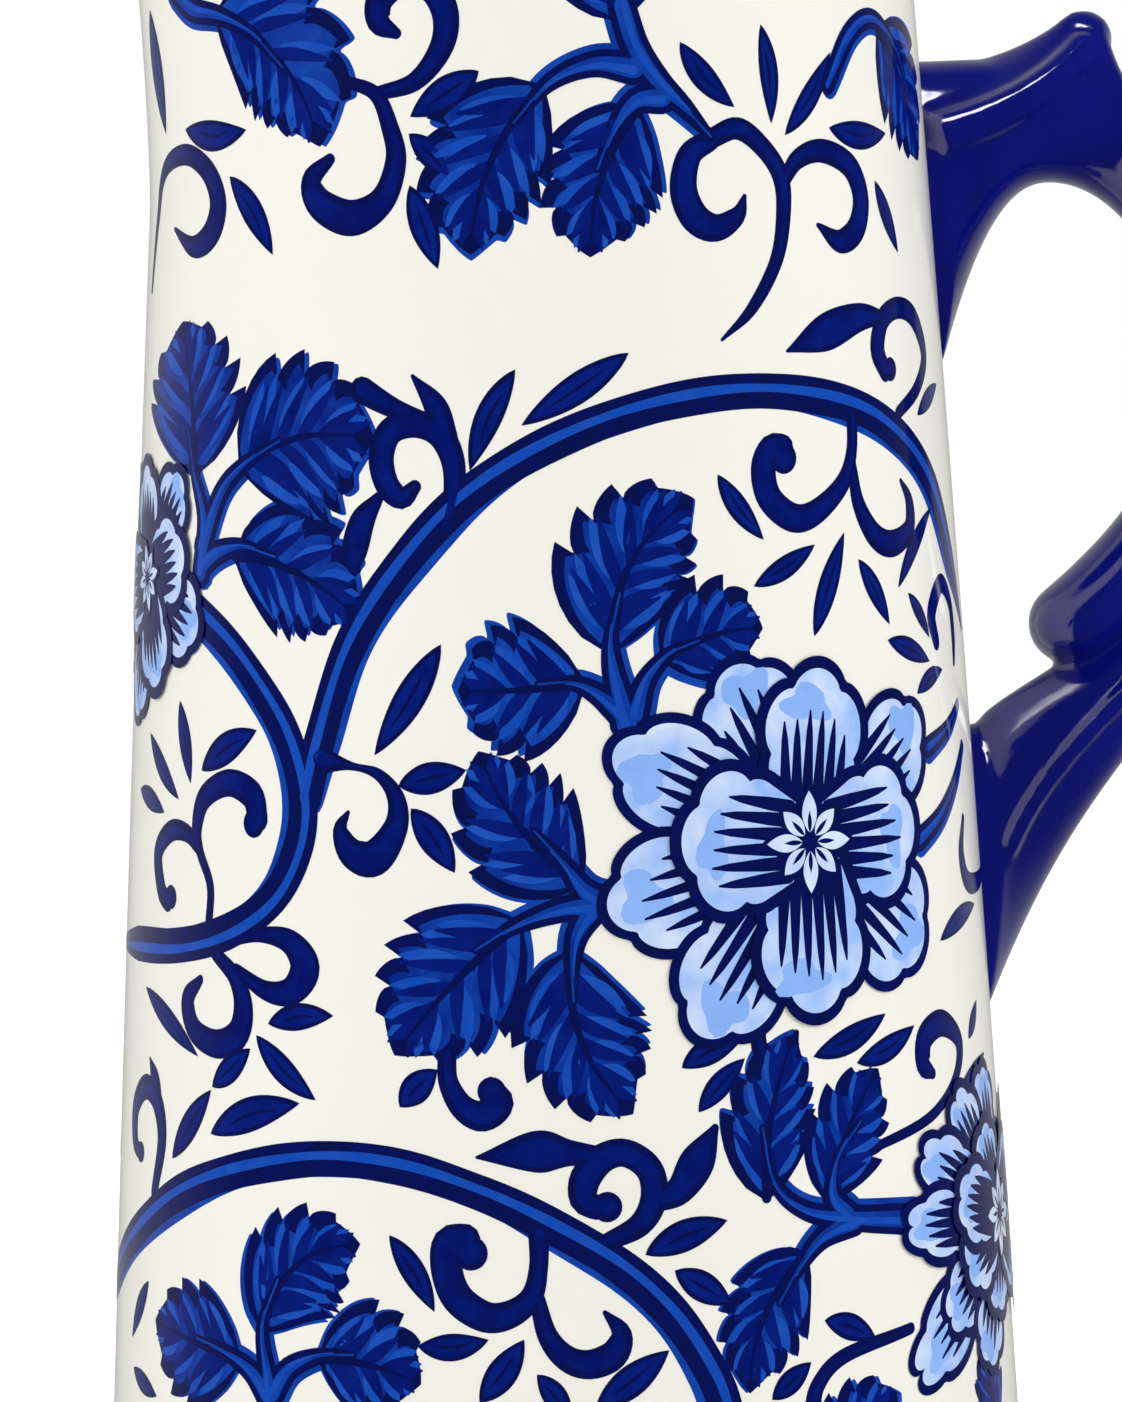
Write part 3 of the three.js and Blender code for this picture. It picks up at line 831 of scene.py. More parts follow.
# Leaves: base, tip, bend to the left of the way they grow, half widths and teeth left and right.
LEAVES = [
    ((7.2, 6.6), (18.9, 29), 0.15, 9.8, 8.6, 4, 4),
    ((3.6, 2.6), (-14.7, 1.4), 0.02, 9.0, 9.2, 3, 3),
    ((14.2, 5.6), (28.8, 10.4), 0.08, 8.0, 6.4, 3, 3),
    ((3.2, -26.4), (-11.8, -7.2), 0.08, 8.6, 8.4, 3, 4),
    ((-5.6, -31.4), (-23.8, -50.6), -0.03, 9.4, 10.2, 3, 4),
    ((1.5, -35.4), (10.3, -59), -0.13, 9.0, 8.6, 4, 4),
    ((-52.2, 32), (-54, 54.2), -0.04, 15.0, 12.2, 3, 4),
    ((-46, 33), (-26.8, 37.4), 0.10, 11.2, 12.2, 4, 4),
    ((-46.8, 20.6), (-29.0, 11.8), 0.10, 8.8, 9.0, 3, 4),
    ((29.4, -71.5), (33.4, -47.6), 0.07, 7.0, 6.6, 3, 4),
    ((37.8, -71.6), (45.3, -52.5), 0.06, 6.8, 7.4, 3, 4),
    ((35.3, -78.6), (27, -98.9), -0.12, 7.1, 6.1, 3, 4),
    ((-42.6, -90.4), (-28.7, -77.6), 0.18, 7.8, 8.8, 4, 4),
    ((-45.6, -94.4), (-57.9, -88.4), 0.0, 9.0, 8.2, 3, 3),
    ((-34.8, -94), (-20, -97.6), 0.06, 8.4, 7.4, 3, 3),
    ((-49.6, 98), (-34.4, 79.2), 0.15, 11.0, 8.8, 3, 4),
    ((-2.4, 88), (-12.9, 63.8), -0.10, 8.0, 9.8, 4, 4),
    ((11.2, 85), (4.2, 63.4), -0.09, 8.4, 8.2, 4, 4),
    ((45, 96), (51, 77.2), 0.06, 8.6, 8.0, 3, 4),
    ((8.8, 97), (6.4, 117.5), 0.05, 8.6, 8.6, 3, 3),
    ((-18, -112), (-8, -104.6), 0.05, 6.5, 6.5, 3, 3),
    ((38, -112), (48, -98.8), 0.05, 7.5, 7.5, 3, 3),
    ((62.5, -104), (60.5, -91.5), 0.05, 5.4, 5.4, 3, 3),
    ((-22, 104), (-33.5, 116.5), 0.08, 7.6, 7.6, 3, 3),
    ((27, 102), (35.5, 117), 0.08, 7.6, 7.6, 3, 3),
]
# Tendrils.
CURLS = [
    [(-30.9, 88.6, 1.4), (-26.5, 86.7, 1.8), (-24.4, 81.8, 2.2), (-23.6, 77.2, 2.6), (-25.5, 71.6, 3.2),
     (-29.9, 69, 4.2), (-34.4, 71, 3.8), (-35.6, 74.4, 2.8), (-33, 77.4, 1.4)],
    [(-26.5, 86.7, 1.6), (-20.9, 88.5, 2.2), (-17.2, 93.2, 2.8), (-16.5, 98, 3.2), (-18.6, 102, 3.4),
     (-22.4, 103, 3.4), (-25.8, 100.4, 3.4), (-26, 97, 3.0), (-23.6, 95.4, 1.4)],
    [(-58.4, 58.6, 0.8), (-57.6, 68, 1.4), (-57, 74, 1.6), (-55.8, 77, 2.2), (-53.2, 78, 2.6),
     (-50.4, 75.6, 3.0), (-49, 71.2, 3.4), (-50, 66.8, 3.4), (-52.5, 64.9, 2.6), (-55.1, 67.4, 0.6)],
    [(21.5, 80.2, 2.4), (18.4, 78, 3.0), (17.5, 73.1, 3.4), (19.2, 69, 3.6), (22.2, 67.6, 3.2),
     (25.2, 69.4, 2.2), (26.2, 72.1, 0.6)],
    [(21.5, 80.4, 2.4), (25.2, 81.8, 2.6), (28.8, 79.1, 2.4), (31.3, 75.1, 2.4), (31.8, 70.1, 2.2),
     (30.8, 63.1, 1.9), (27.3, 56.1, 1.5), (23, 51.6, 0.4)],
    [(31.6, 73.8, 1.6), (33.8, 77.4, 2.4), (37.3, 78.6, 2.8), (41.2, 76.4, 3.0), (42.8, 72, 3.2),
     (42.2, 67.6, 3.4), (39.8, 65.7, 2.8), (36.7, 68, 0.6)],
    [(-16.6, 24.6, 2.0), (-15.4, 28.7, 2.4), (-15.4, 34.1, 2.8), (-17.4, 38.2, 3.2), (-20.9, 39.6, 3.2),
     (-24.4, 38.5, 3.2), (-25.7, 34.8, 3.2), (-24.8, 30.8, 3.0), (-22.7, 29, 2.6), (-20.9, 30.6, 1.6)],
    [(-16.4, 37.6, 2.8), (-18, 42.2, 2.8), (-21.2, 46.4, 0.5)],
    [(-26.1, 29, 1.4), (-28.4, 25.6, 3.2), (-29.6, 21, 3.2), (-30, 17.6, 0.8)],
    [(-28.4, 44.4, 3.2), (-24, 41.9, 2.4), (-19.8, 40.4, 1.6)],
    [(48.2, 41.2, 1.6), (50.9, 44.9, 1.9), (51.8, 49.5, 2.1), (50.4, 54.6, 2.6), (48.2, 56.2, 2.6),
     (46, 54.6, 2.8), (45.2, 50.4, 3.0), (46.3, 47.0, 2.4)],
    [(46.4, 54.8, 1.2), (42.6, 54.8, 3.4), (37.6, 52.6, 4.4), (32.3, 50, 0.4)],
    [(41.5, 41.4, 1.9), (41.5, 35.7, 1.9), (40.2, 31.1, 2.4), (36.4, 27, 3.0), (33.1, 26.2, 3.4),
     (29.8, 29, 3.4), (28.9, 33.2, 3.4), (30.0, 36.0, 3.4), (31.6, 36.2, 3.2)],
    [(41.5, 34, 1.5), (42.5, 28.2, 2.2), (44.8, 23.7, 3.0), (47.3, 22.5, 3.2), (49.7, 24.6, 2.6),
     (49.7, 28.6, 1.9), (48.5, 31.5, 0.6)],
    [(-50.3, -32, 1.4), (-50.1, -26.4, 1.4), (-51.6, -21.4, 1.6), (-52, -18, 2.2), (-50.9, -13.8, 2.8),
     (-47.5, -11.7, 3.2), (-44.2, -13.4, 3.6), (-43.3, -16.8, 3.2)],
    [(-51.6, -21.4, 1.4), (-53.4, -18.9, 2.2), (-55.7, -18.6, 2.6), (-57.5, -21.6, 2.6), (-57.1, -26.8, 2.6),
     (-56.2, -28.6, 2.6)],
    [(-49.4, -36, 1.8), (-46.6, -39.4, 2.4), (-45.4, -43.6, 3.2), (-46.2, -47.6, 3.6), (-49.2, -49, 3.4),
     (-52.4, -46.9, 3.0), (-53.3, -42.7, 2.8), (-51.5, -39.8, 1.2)],
    [(-47.2, -34.2, 1.4), (-42.9, -33.4, 1.8), (-38.8, -34.4, 3.0), (-36.6, -38, 4.2), (-38.5, -41.4, 3.4),
     (-42.1, -41.4, 2.4), (-46.4, -38.3, 1.4)],
    [(-34.4, -8.4, 3.4), (-29.9, -9.3, 1.0), (-26.1, -10.5, 1.4), (-23.6, -13.8, 2.2), (-23.6, -18, 3.0),
     (-26.6, -22.4, 4.2), (-29.9, -21.7, 3.6), (-31.5, -18.4, 2.0), (-30.4, -15.9, 0.5)],
    [(-16.3, -50.4, 2.2), (-16.1, -54.4, 2.4), (-14.1, -58, 3.0), (-11.2, -59.3, 3.6), (-8.8, -57.2, 3.4),
     (-10, -54.4, 1.2)],
    [(-58.1, -70.3, 1.8), (-57, -62.6, 2.4), (-57.7, -57.1, 3.0), (-59.3, -55.1, 3.0), (-60.7, -57.9, 2.8),
     (-60.8, -62.6, 2.4), (-60, -64.9, 1.6)],
    [(-57.4, -58, 2.0), (-58, -54, 2.6), (-58.7, -51, 0.4)],
    [(6.4, -77.4, 2.0), (11.3, -74.8, 2.8), (13.3, -70.9, 3.2), (12.6, -66.9, 3.2), (9.3, -64.6, 3.2),
     (6, -65.3, 3.4), (3.5, -68.2, 3.6), (3.2, -71.2, 3.2), (5, -72.4, 2.8)],
    [(6.6, -65, 1.8), (1.4, -64.6, 3.0), (-3.6, -64.4, 4.8), (-12, -65.2, 0.4)],
    [(13.2, -71.6, 2.4), (16.9, -69.9, 3.4), (19.6, -65.6, 4.2), (22, -61, 1.0)],
    [(-3.2, -76, 2.4), (-3.2, -80.8, 2.2), (-4.2, -85.1, 2.6), (-7.2, -87.6, 3.2), (-10.8, -88, 3.6),
     (-14.7, -85.4, 3.8), (-16.3, -81.4, 3.8), (-15.9, -77.7, 4.2), (-13.8, -77, 3.8)],
    [(-3.4, -85.4, 1.8), (-1.9, -90.7, 2.4), (0.8, -93.9, 3.0), (4.1, -94.8, 3.4), (7.5, -93.4, 3.4),
     (8.6, -90.3, 2.4), (6.3, -87.4, 0.6)],
    [(30.2, -42, 1.4), (28.4, -46.4, 1.8), (28.5, -49.8, 2.2), (30.6, -51, 2.2), (32.8, -50, 1.8),
     (33.6, -47.4, 0.8)],
    [(44.8, -63.8, 1.2), (53.0, -59.2, 1.4), (56.4, -53.7, 1.6), (56.8, -48.6, 2.2), (54.4, -46, 3.2),
     (52, -48, 3.4), (51.8, -51.9, 3.0), (53.1, -53.2, 1.4)],
    [(50, -89.6, 1.4), (40.8, -93.4, 1.8), (36.8, -97.6, 2.0), (36.2, -102, 2.4), (38.4, -105, 2.8),
     (41.4, -103.4, 1.2)],
    [(57.4, -16.6, 1.0), (57.2, -22, 2.2), (58.4, -26, 2.6), (60, -24, 1.6), (59.8, -20.4, 0.6)],
    [(53.6, 8.4, 2.0), (52.9, 12.6, 2.6), (54.2, 16.8, 2.4), (55.5, 14, 1.8), (56, 9, 1.6), (56.1, 5.4, 0.8)],
    [(-4, 104, 1.4), (-7.4, 108, 2.4), (-11.6, 108.6, 3.0), (-13.6, 105.2, 3.0), (-11.4, 103, 1.2)],
    [(20, 104, 1.4), (22.6, 109, 2.4), (20.2, 113.4, 3.0), (16.4, 112, 2.6), (16.8, 109, 1.2)],
    [(-50, -110, 1.4), (-46, -113.6, 2.4), (-41.6, -111.6, 3.0), (-41.4, -108, 1.4)],
    [(8, -104, 1.4), (11.6, -108.4, 2.4), (16.2, -109.4, 3.0), (18.4, -106.2, 2.8), (16.2, -104.4, 1.2)],
]
# Round ends of tendrils: where, and how wide.
BULBS = [
    (31.8, 34.7, 4.4), (47.0, 47.4, 3.4), (-43.9, -17.5, 4.0), (-55.7, -28.0, 3.4), (-12.9, -78.9, 4.8),
    (6.6, -72.3, 4.2), (-9.9, -55.8, 4.0), (-60, -64.4, 3.0),
]
# Leaflets: where each starts and ends, and its width.
LEAFLETS = [
    (22.4, 32.3, 28.9, 23.1, 3.2), (27.6, 16.4, 36.2, 22.3, 3.2), (36.2, 9.3, 40.4, 24, 3.6),
    (42.5, 20.2, 46.9, 11, 3.2), (48.2, 16.2, 52.8, 27.7, 2.8), (49.6, 15.4, 52.6, 9.1, 2.4),
    (46.7, 8.7, 52.6, 5.7, 3.2), (50.9, 1.1, 54.4, 4.5, 2.8), (50.9, 40.9, 53.6, 45.3, 2.8),
    (-17.2, 8, -26.6, -7.7, 4.4), (-6.6, 47.3, -13, 33, 3.8), (9.6, 49.7, -5.6, 39.4, 4.2),
    (17, 94.1, 24.7, 84.9, 3.6), (28.5, 96.6, 30, 82.6, 3.2), (38.3, 81.9, 46.3, 81.1, 4),
    (32, 80.9, 38.4, 92.6, 3.4), (44.8, 74.3, 48.1, 64.1, 3), (-21.6, 73.6, -17.6, 61.8, 4),
    (-58.7, 98.7, -56.4, 81.1, 5.0), (-53.6, 81.6, -45, 81.6, 4.4), (-47.3, 74.9, -41.2, 63.8, 4.2),
    (-11.8, 90, -21.5, 83.5, 4.6),
    (-21.7, 81, -15.5, 74.4, 3.6), (-23.2, -12.1, -13.6, -9.9, 4.4), (-21.4, -15.4, -15.2, -24.5, 4.4),
    (-54.4, 0, -52.9, -11.7, 3.4), (-58.6, -4.6, -54.6, -14, 3.2), (-51.3, -9.9, -43.5, -4.2, 4.4),
    (-60, -12.6, -56.7, -15.9, 3.2), (-59.2, -40.9, -51.9, -50.7, 3.4), (-41.8, -46.1, -32.6, -45, 3.8),
    (-43.5, -47.8, -35.1, -57, 3.8), (-49.8, -55.1, -44.4, -49.7, 3.8), (-55.5, -65.3, -50, -55.6, 4),
    (-50, -61.8, -37.4, -57.5, 4.8), (-24.5, -76.4, -18.1, -87.2, 3.6), (-20.4, -92.2, -10.4, -91.3, 3.8),
    (-58.9, -82.9, -61.2, -90.8, 3), (-61, -95.2, -57.8, -99.3, 3), (-11.6, -100.2, -5.3, -91.3, 4.2),
    (-3.4, -96.3, 1.2, -103.4, 3.4), (5, -101, 15.4, -92.8, 4.4), (12.1, -79.1, 23.7, -74.2, 4.4),
    (16.3, -81.4, 24.4, -86.2, 4.2), (17.3, -52.4, 25.8, -48.4, 3.8), (19.7, -58.7, 26.2, -51.1, 3.4),
    (-23, -58, -17.7, -52.7, 4.2), (36.1, -50.8, 46.3, -44.7, 3.8), (42.3, -51.7, 50.4, -46.4, 3.6),
    (56.8, -55.9, 60.4, -50.2, 3), (58.2, -48.2, 59.3, -42.7, 2.6), (37.7, -88.5, 44.9, -90.9, 3.8),
    (30.2, -99.8, 35.7, -94.5, 3.4), (54.2, -34.2, 59, -29, 3.2), (21.4, -101.4, 29, -108.6, 3.6),
    (-58.6, -104.4, -53.4, -112, 3.4), (-36.4, -104.6, -27.4, -107.6, 4), (-46.4, 106, -42.2, 116, 3.8),
    (0.2, 108, -2.4, 118, 3.6), (38, 104.6, 44, 113.4, 3.6), (-14, 113.2, -21.6, 117.2, 3.6),
]
# Flowers: the middle, the sizes across and up, the lean, and which set of petals.
FLOWERS = [
    (35.3, -20.1, 1.0, 1.0, 0.0, 0), (-58.6, 17.6, 0.68, 0.68, 0.25, 0), (62.0, -73.0, 1.0, 0.78, 0.0, 1),
]
# Petals behind and petals in front: across, up, width, lobes, as seen on the flower's middle.
BACK_PETALS = [
    [(-12.6, 25.6, 17, 3), (-30, 14.4, 16, 3), (-31.4, -8.6, 17, 3), (-18.6, -26.6, 17, 3),
     (23.2, -17.4, 19, 3), (25, 16.8, 16, 3)],
    [(-29, -27, 14, 4), (-21, -18, 13, 4), (-8, -28, 14, 4), (-6, 28, 13, 4), (-17, 24, 13, 4),
     (-27, 14, 13, 4), (-31, 1, 12, 4), (22, 16, 18, 3), (22, -14, 18, 3)],
]
FRONT_PETALS = [
    [(2.6, 25.0, 18.5, 3), (22.6, 1.0, 20, 3), (0.6, -24.8, 19, 3), (-21, 1.2, 21, 3)],
    [(-3, -19, 15, 4), (-8, 17, 14, 4), (14, -11, 16, 3), (14, 10, 16, 3), (-16, -9, 15, 4), (-18, 5, 14, 4)],
]


def sheet_spot(u, v):
    """Where a point of the camera's frame falls on the wall: arc length and height, in mm."""
    scene = bpy.context.scene
    right, upright, back, aim = camera_axes()
    eye = aim + back * scene.stage.distance
    way = aim + right * (u * MM) + upright * (v * MM) - eye
    radius = scene.jug.radius_rim
    flat = way.x * way.x + way.y * way.y
    for _ in range(8):
        half = eye.x * way.x + eye.y * way.y
        under = half * half - flat * (eye.x * eye.x + eye.y * eye.y - radius * radius)
        spot = eye + way * ((-half - math.sqrt(max(under, 0.0))) / flat)
        angle = math.atan2(spot.y, spot.x)
        radius = wall_radius(spot.z) + float(drawn_out(angle, spot.z)[0])
    facing = scene.stage.azimuth - math.pi / 2
    aside = (angle - facing + math.pi) % (2 * math.pi) - math.pi
    return np.array((aside * wall_radius(spot.z) / MM, spot.z / MM))


def smooth_path(points, step=0.8):
    """A smooth line through points whose last numbers, such as widths, are eased too."""
    points = np.array(points, float)
    padded = np.concatenate([[2 * points[0] - points[1]], points, [2 * points[-1] - points[-2]]])
    rows = []
    for i in range(1, len(points)):
        a, b, c, d = padded[i - 1 : i + 3]
        count = max(2, int(np.linalg.norm((c - b)[:2]) / step))
        for t in np.arange(count) / count:
            square = (2 * a - 5 * b + 4 * c - d) * t**2
            rows.append(0.5 * (2 * b + (c - a) * t + square + (3 * b - a - 3 * c + d) * t**3))
    rows.append(points[-1])
    return np.array(rows)


def drawn_path(points, step=0.8):
    """A smooth line on the wall through points of the frame, with any widths kept."""
    spots = [np.concatenate([sheet_spot(p[0], p[1]), p[2:]]) for p in points]
    return smooth_path(spots, step)


def left_of(path):
    """Unit vectors to the left of a path."""
    along = np.gradient(path[:, :2], axis=0)
    along /= np.maximum(np.linalg.norm(along, axis=1, keepdims=True), 1e-9)
    return np.stack([-along[:, 1], along[:, 0]], axis=1)


def ribbon(path, widths, aside=0.0):
    """Outline of a brush stroke along a path, with rounded ends."""
    left = left_of(path)
    middle = path[:, :2] + left * np.reshape(aside, (-1, 1))
    half = np.reshape(widths, (-1, 1)) / 2
    heading = np.unwrap(np.arctan2(-left[:, 0], left[:, 1]))
    pace = np.maximum(np.linalg.norm(np.gradient(path[:, :2], axis=0), axis=1), 1e-6)
    bend = (np.gradient(heading) / pace)[:, None]
    # On the inside of a tight bend the stroke is no wider than the bend's own radius.
    inner = np.minimum(half, 0.95 / np.maximum(bend, 1e-6))
    outer = np.minimum(half, 0.95 / np.maximum(-bend, 1e-6))
    caps = []
    for end, sign in ((-1, 1), (0, -1)):
        out = np.array((left[end][1], -left[end][0])) * sign
        turns = np.linspace(-math.pi / 2, math.pi / 2, 7)[1:-1]
        side = left[end] * sign
        caps.append(
            [middle[end] + half[end] * (out * math.cos(t) - side * math.sin(t)) for t in turns]
        )
    return np.concatenate([middle + left * inner, caps[0], (middle - left * outer)[::-1], caps[1]])


def disc(count):
    """Points round a circle of radius 1."""
    turns = np.linspace(0, 2 * math.pi, count + 1)[:-1]
    return np.stack([np.cos(turns), np.sin(turns)], axis=1)


def turned_by(angle):
    """A matrix that turns rows of points by an angle."""
    return np.array(((math.cos(angle), math.sin(angle)), (-math.sin(angle), math.cos(angle))))


def rounded(points):
    """Cut the corners of a closed outline twice, as a loaded brush does."""
    for _ in range(2):
        ahead = np.roll(points, -1, axis=0)
        points = np.stack([points * 0.75 + ahead * 0.25, points * 0.25 + ahead * 0.75], axis=1).reshape(-1, 2)
    return points


def evened(points):
    """Closed outline with no long edge, so that it bends round the wall."""
    step = 0.9
    rows = []
    for a, b in zip(points, np.roll(points, -1, axis=0)):
        count = max(1, int(np.linalg.norm(b - a) / step))
        rows += [a + (b - a) * (k / count) for k in range(count)]
    return np.array(rows)


def inside(points, outline):
    """Which points lie inside a closed outline."""
    ahead = np.roll(outline, -1, axis=0)
    x, y = points[:, 0:1], points[:, 1:2]
    crosses = (outline[:, 1] > y) != (ahead[:, 1] > y)
    rise = np.where(np.abs(ahead[:, 1] - outline[:, 1]) < 1e-9, 1e-9, ahead[:, 1] - outline[:, 1])
    reach = outline[:, 0] + (y - outline[:, 1]) / rise * (ahead[:, 0] - outline[:, 0])
    return np.sum(crosses & (x < reach), axis=1) % 2 == 1


class Painting:
    """Flat shapes on the unrolled wall, gathered by the paint that they are drawn with."""

    def __init__(self):
        self.shapes = {}
        self.chance = random.Random(SEED)

    def shape(self, paint, coat, outline, tone=None):
        """Add a closed outline. The tone is 0 where thick to 1 where thin, or a function of the points."""
        if tone is None:
            tone = self.chance.uniform(0.35, 0.65)
        self.shapes.setdefault(paint, []).append((coat, np.asarray(outline, float), tone))

    def mesh_of(self, paint):
        """Points, faces and tones of all shapes in one paint: turn, height and lift."""
        grid = bpy.context.scene.paint.grid / MM
        film = bpy.context.scene.paint.film
        points, faces, tones, fronts = [], [], [], []
        for number, (coat, outline, tone) in enumerate(self.shapes[paint]):
            outline = evened(outline)
            low, high = outline.min(axis=0), outline.max(axis=0)
            # Inner points stand close together round the wall, where it bends, and further apart up it.
            spread = np.meshgrid(
                np.arange(low[0] + 0.5, high[0], grid), np.arange(low[1] + 0.5, high[1], grid * 1.4)
            )
            dots = np.stack([spread[0].ravel(), spread[1].ravel()], axis=1)
            if len(dots):
                dots = dots[inside(dots, outline)]
            if len(dots):
                apart = np.linalg.norm(dots[:, None] - outline[None], axis=2).min(axis=1)
                dots = dots[apart > grid * 0.6]
            spots = [Vector(p) for p in np.concatenate([outline, dots.reshape(-1, 2)])]
            made = delaunay_2d_cdt(spots, [], [list(range(len(outline)))], 1, 1e-5)
            flat = np.array([tuple(p) for p in made[0]])
            if len(flat) == 0:
                continue
            start = sum(len(p) for p in points)
            for face in made[2]:
                a, b, c = flat[face[0]], flat[face[1]], flat[face[2]]
                area = (b[0] - a[0]) * (c[1] - a[1]) - (b[1] - a[1]) * (c[0] - a[0])
                order = face if area > 0 else face[::-1]
                faces.append(tuple(i + start for i in order))
            height = flat[:, 1] * MM
            # Shapes of one coat that overlap keep a hair's breadth apart.
            lift = np.full(len(flat), (coat + 0.25 * (number % 7) / 7) * film)
            turned = flat[:, 0] * MM / wall_radius(height)
            points.append(np.stack([turned, height, lift], axis=1))
            tones.append(tone(flat) if callable(tone) else np.full(len(flat), tone))
            fronts.append(np.full(len(flat), turned.mean() < FRONT_ONLY_PAST))
        return np.concatenate(points), faces, np.concatenate(tones), np.concatenate(fronts)


def paint_vine(painting, before, after, points):
    """The main vine: a thick line with a light stripe near its upper edge and a wash that slips out below."""
    width = bpy.context.scene.paint.vine / MM
    path = drawn_path(points)
    # It runs straight on round the side, past what the camera sees.
    back, on = path[0] - path[2], path[-1] - path[-3]
    behind = path[0] + back / np.linalg.norm(back) * np.arange(before, 0, -1)[:, None]
    beyond = path[-1] + on / np.linalg.norm(on) * np.arange(1, after + 1)[:, None]
    path = np.concatenate([behind, path, beyond])
    run = np.arange(len(path)) * 0.8
    # What runs on thins out to a point.
    spots = np.arange(len(path))
    thin = np.minimum((spots + 1) / (before + 1), (len(path) - spots) / (after + 1)).clip(0.06, 1) ** 0.7
    width = width * thin
    slip = 0.85 + 0.7 * np.sin(run / 17.0) + 0.3 * np.sin(run / 5.3)
    painting.shape("wash", SLIP_COAT, ribbon(path, width * 0.82, -slip * thin), 0.75)
    painting.shape("navy", LINE_COAT, ribbon(path, width + 0.12 * np.sin(run / 3.1)))
    stripe = (1.3 + 0.15 * np.sin(run / 4.0)) * thin
    painting.shape("light", WASH_COAT, ribbon(path, stripe, 0.45 * thin), 0.05)


def paint_stem(painting, points):
    """A stalk that runs into a leaf: two lines with a blue core that narrows along the leaf's rib."""
    path = drawn_path(points)
    taper = np.linspace(0.86, 0.34, len(path))
    width = path[:, 2] * taper
    slip, line, wash, stripe = STEM_COATS
    painting.shape("wash", slip, ribbon(path, width + 0.6, -0.7), 0.7)
    painting.shape("navy", line, ribbon(path, width + 0.3))
    core = np.maximum(width - 1.7, 0.3)
    painting.shape("wash", wash, ribbon(path, core), 0.55)
    shown = int(len(path) * 0.8)
    painting.shape("light", stripe, ribbon(path[:shown], core[:shown] * 0.45, 0.25), 0.1)


def paint_curl(painting, points):
    """A tendril that swells towards its rolled end."""
    path = drawn_path(points, 0.6)
    path[:, 2] *= 1.2
    painting.shape("navy", LINE_COAT, ribbon(path, path[:, 2]))
    wide = np.flatnonzero(path[:, 2] > 1.9)
    if len(wide) > 8:
        run = path[wide[0] : wide[-1] + 1]
        core = np.clip(run[:, 2] - 1.7, 0.3, None)
        painting.shape("deep", WASH_COAT, ribbon(run, core, 0.15), 0.25)


def paint_bulb(painting, u, v, width):
    """The round end of a tendril."""
    spot = sheet_spot(u, v)
    painting.shape("navy", LINE_COAT + 0.5, disc(24) * width / 2 + spot)
    painting.shape("deep", WASH_COAT + 0.3, disc(24) * (width / 2 - 0.85) + spot, 0.25)


def lens(start, end, width, bow=0.0, small=1.0):
    """Outline of a pointed leaflet between two points."""
    t = np.linspace(0, 1, 22)
    along = end - start
    aside = np.array((-along[1], along[0])) / np.linalg.norm(along)
    middle = start + along * (0.5 + (t[:, None] - 0.5) * small) + aside * (4 * bow * t * (1 - t))[:, None]
    path = np.concatenate([middle, np.zeros((22, 1))], axis=1)
    half = np.sin(math.pi * t**0.92) ** 0.8 * width
    return ribbon(path, np.maximum(half, 0.12))


def paint_leaflet(painting, u0, v0, u1, v1, width):
    """A small leaf beside the vine."""
    start, end = sheet_spot(u0, v0), sheet_spot(u1, v1)
    bow = painting.chance.uniform(-0.06, 0.06) * np.linalg.norm(end - start)
    painting.shape("navy", LINE_COAT, lens(start, end, width, bow))
    core = lens(start, end, width - 1.3, bow, 0.84)
    painting.shape("deep", WASH_COAT, core, painting.chance.uniform(0.5, 0.8))
    painting.shape("navy", WASH_COAT + 1, lens(start, end, 0.5, bow, 0.55))


class Leaf:
    """The rib of a leaf and places beside it."""

    def __init__(self, start, end, bend):
        along = end - start
        self.length = np.linalg.norm(along)
        aside = np.array((-along[1], along[0])) / self.length
        self.start = start
        self.knee = (start + end) / 2 + aside * (2 * bend * self.length)
        self.end = end

    def rib(self, part):
        """The point of the rib at a part of its length."""
        return np.array(quadratic(self.start, self.knee, self.end, part))

    def beside(self, part, reach):
        """The point at a distance to the left of the rib, leaning forwards."""
        way = (1 - part) * (self.knee - self.start) + part * (self.end - self.knee)
        way = way / np.linalg.norm(way)
        return self.rib(part) + np.array((-way[1], way[0])) * reach + way * abs(reach) * 0.2

    def swell(self, part):
        """How full the leaf is at a part of its length, from 0 to 1."""
        return max(math.sin(math.pi * min(max(part, 0.0), 1.0) ** 0.82), 0.0) ** 0.68

    def edge(self, teeth, width, trim=0.0):
        """Points of one half's edge, from base to tip, less a trim, and the parts where its teeth point."""
        tips = [lerp(0.54 - 0.04 * teeth, 0.75 + 0.025 * teeth, k / (teeth - 1)) for k in range(teeth)]
        bounds = [0.0] + tips + [1.0]
        back = trim / self.length
        points = []
        for k in range(teeth + 1):
            # Each lobe swells from its notch and ends in a point. The last one closes on the leaf's tip.
            low = bounds[k] + back * 0.55
            high = bounds[k + 1] - back * (1.5 if k == teeth else 0.35)
            for t in np.linspace(0, 1, 8):
                part = lerp(low, high, t)
                out = lerp(0.78 if k else 0.94, 1.1, t**0.65) * self.swell(part)
                if k == teeth:
                    out = 0.82 * self.swell(bounds[k]) * (1 - t) ** 0.85
                reach = max(out * abs(width) - trim, 0.05)
                points.append(self.beside(part, math.copysign(reach, width)))
        return points, tips


def stroke(painting, paint, coat, points, widths):
    """A tapered brush stroke through points on the wall."""
    path = smooth_path(points, 0.7)
    path = np.concatenate([path, np.zeros((len(path), 1))], axis=1)
    thick = np.interp(np.linspace(0, 1, len(path)), np.linspace(0, 1, len(widths)), widths)
    painting.shape(paint, coat, ribbon(path, thick))


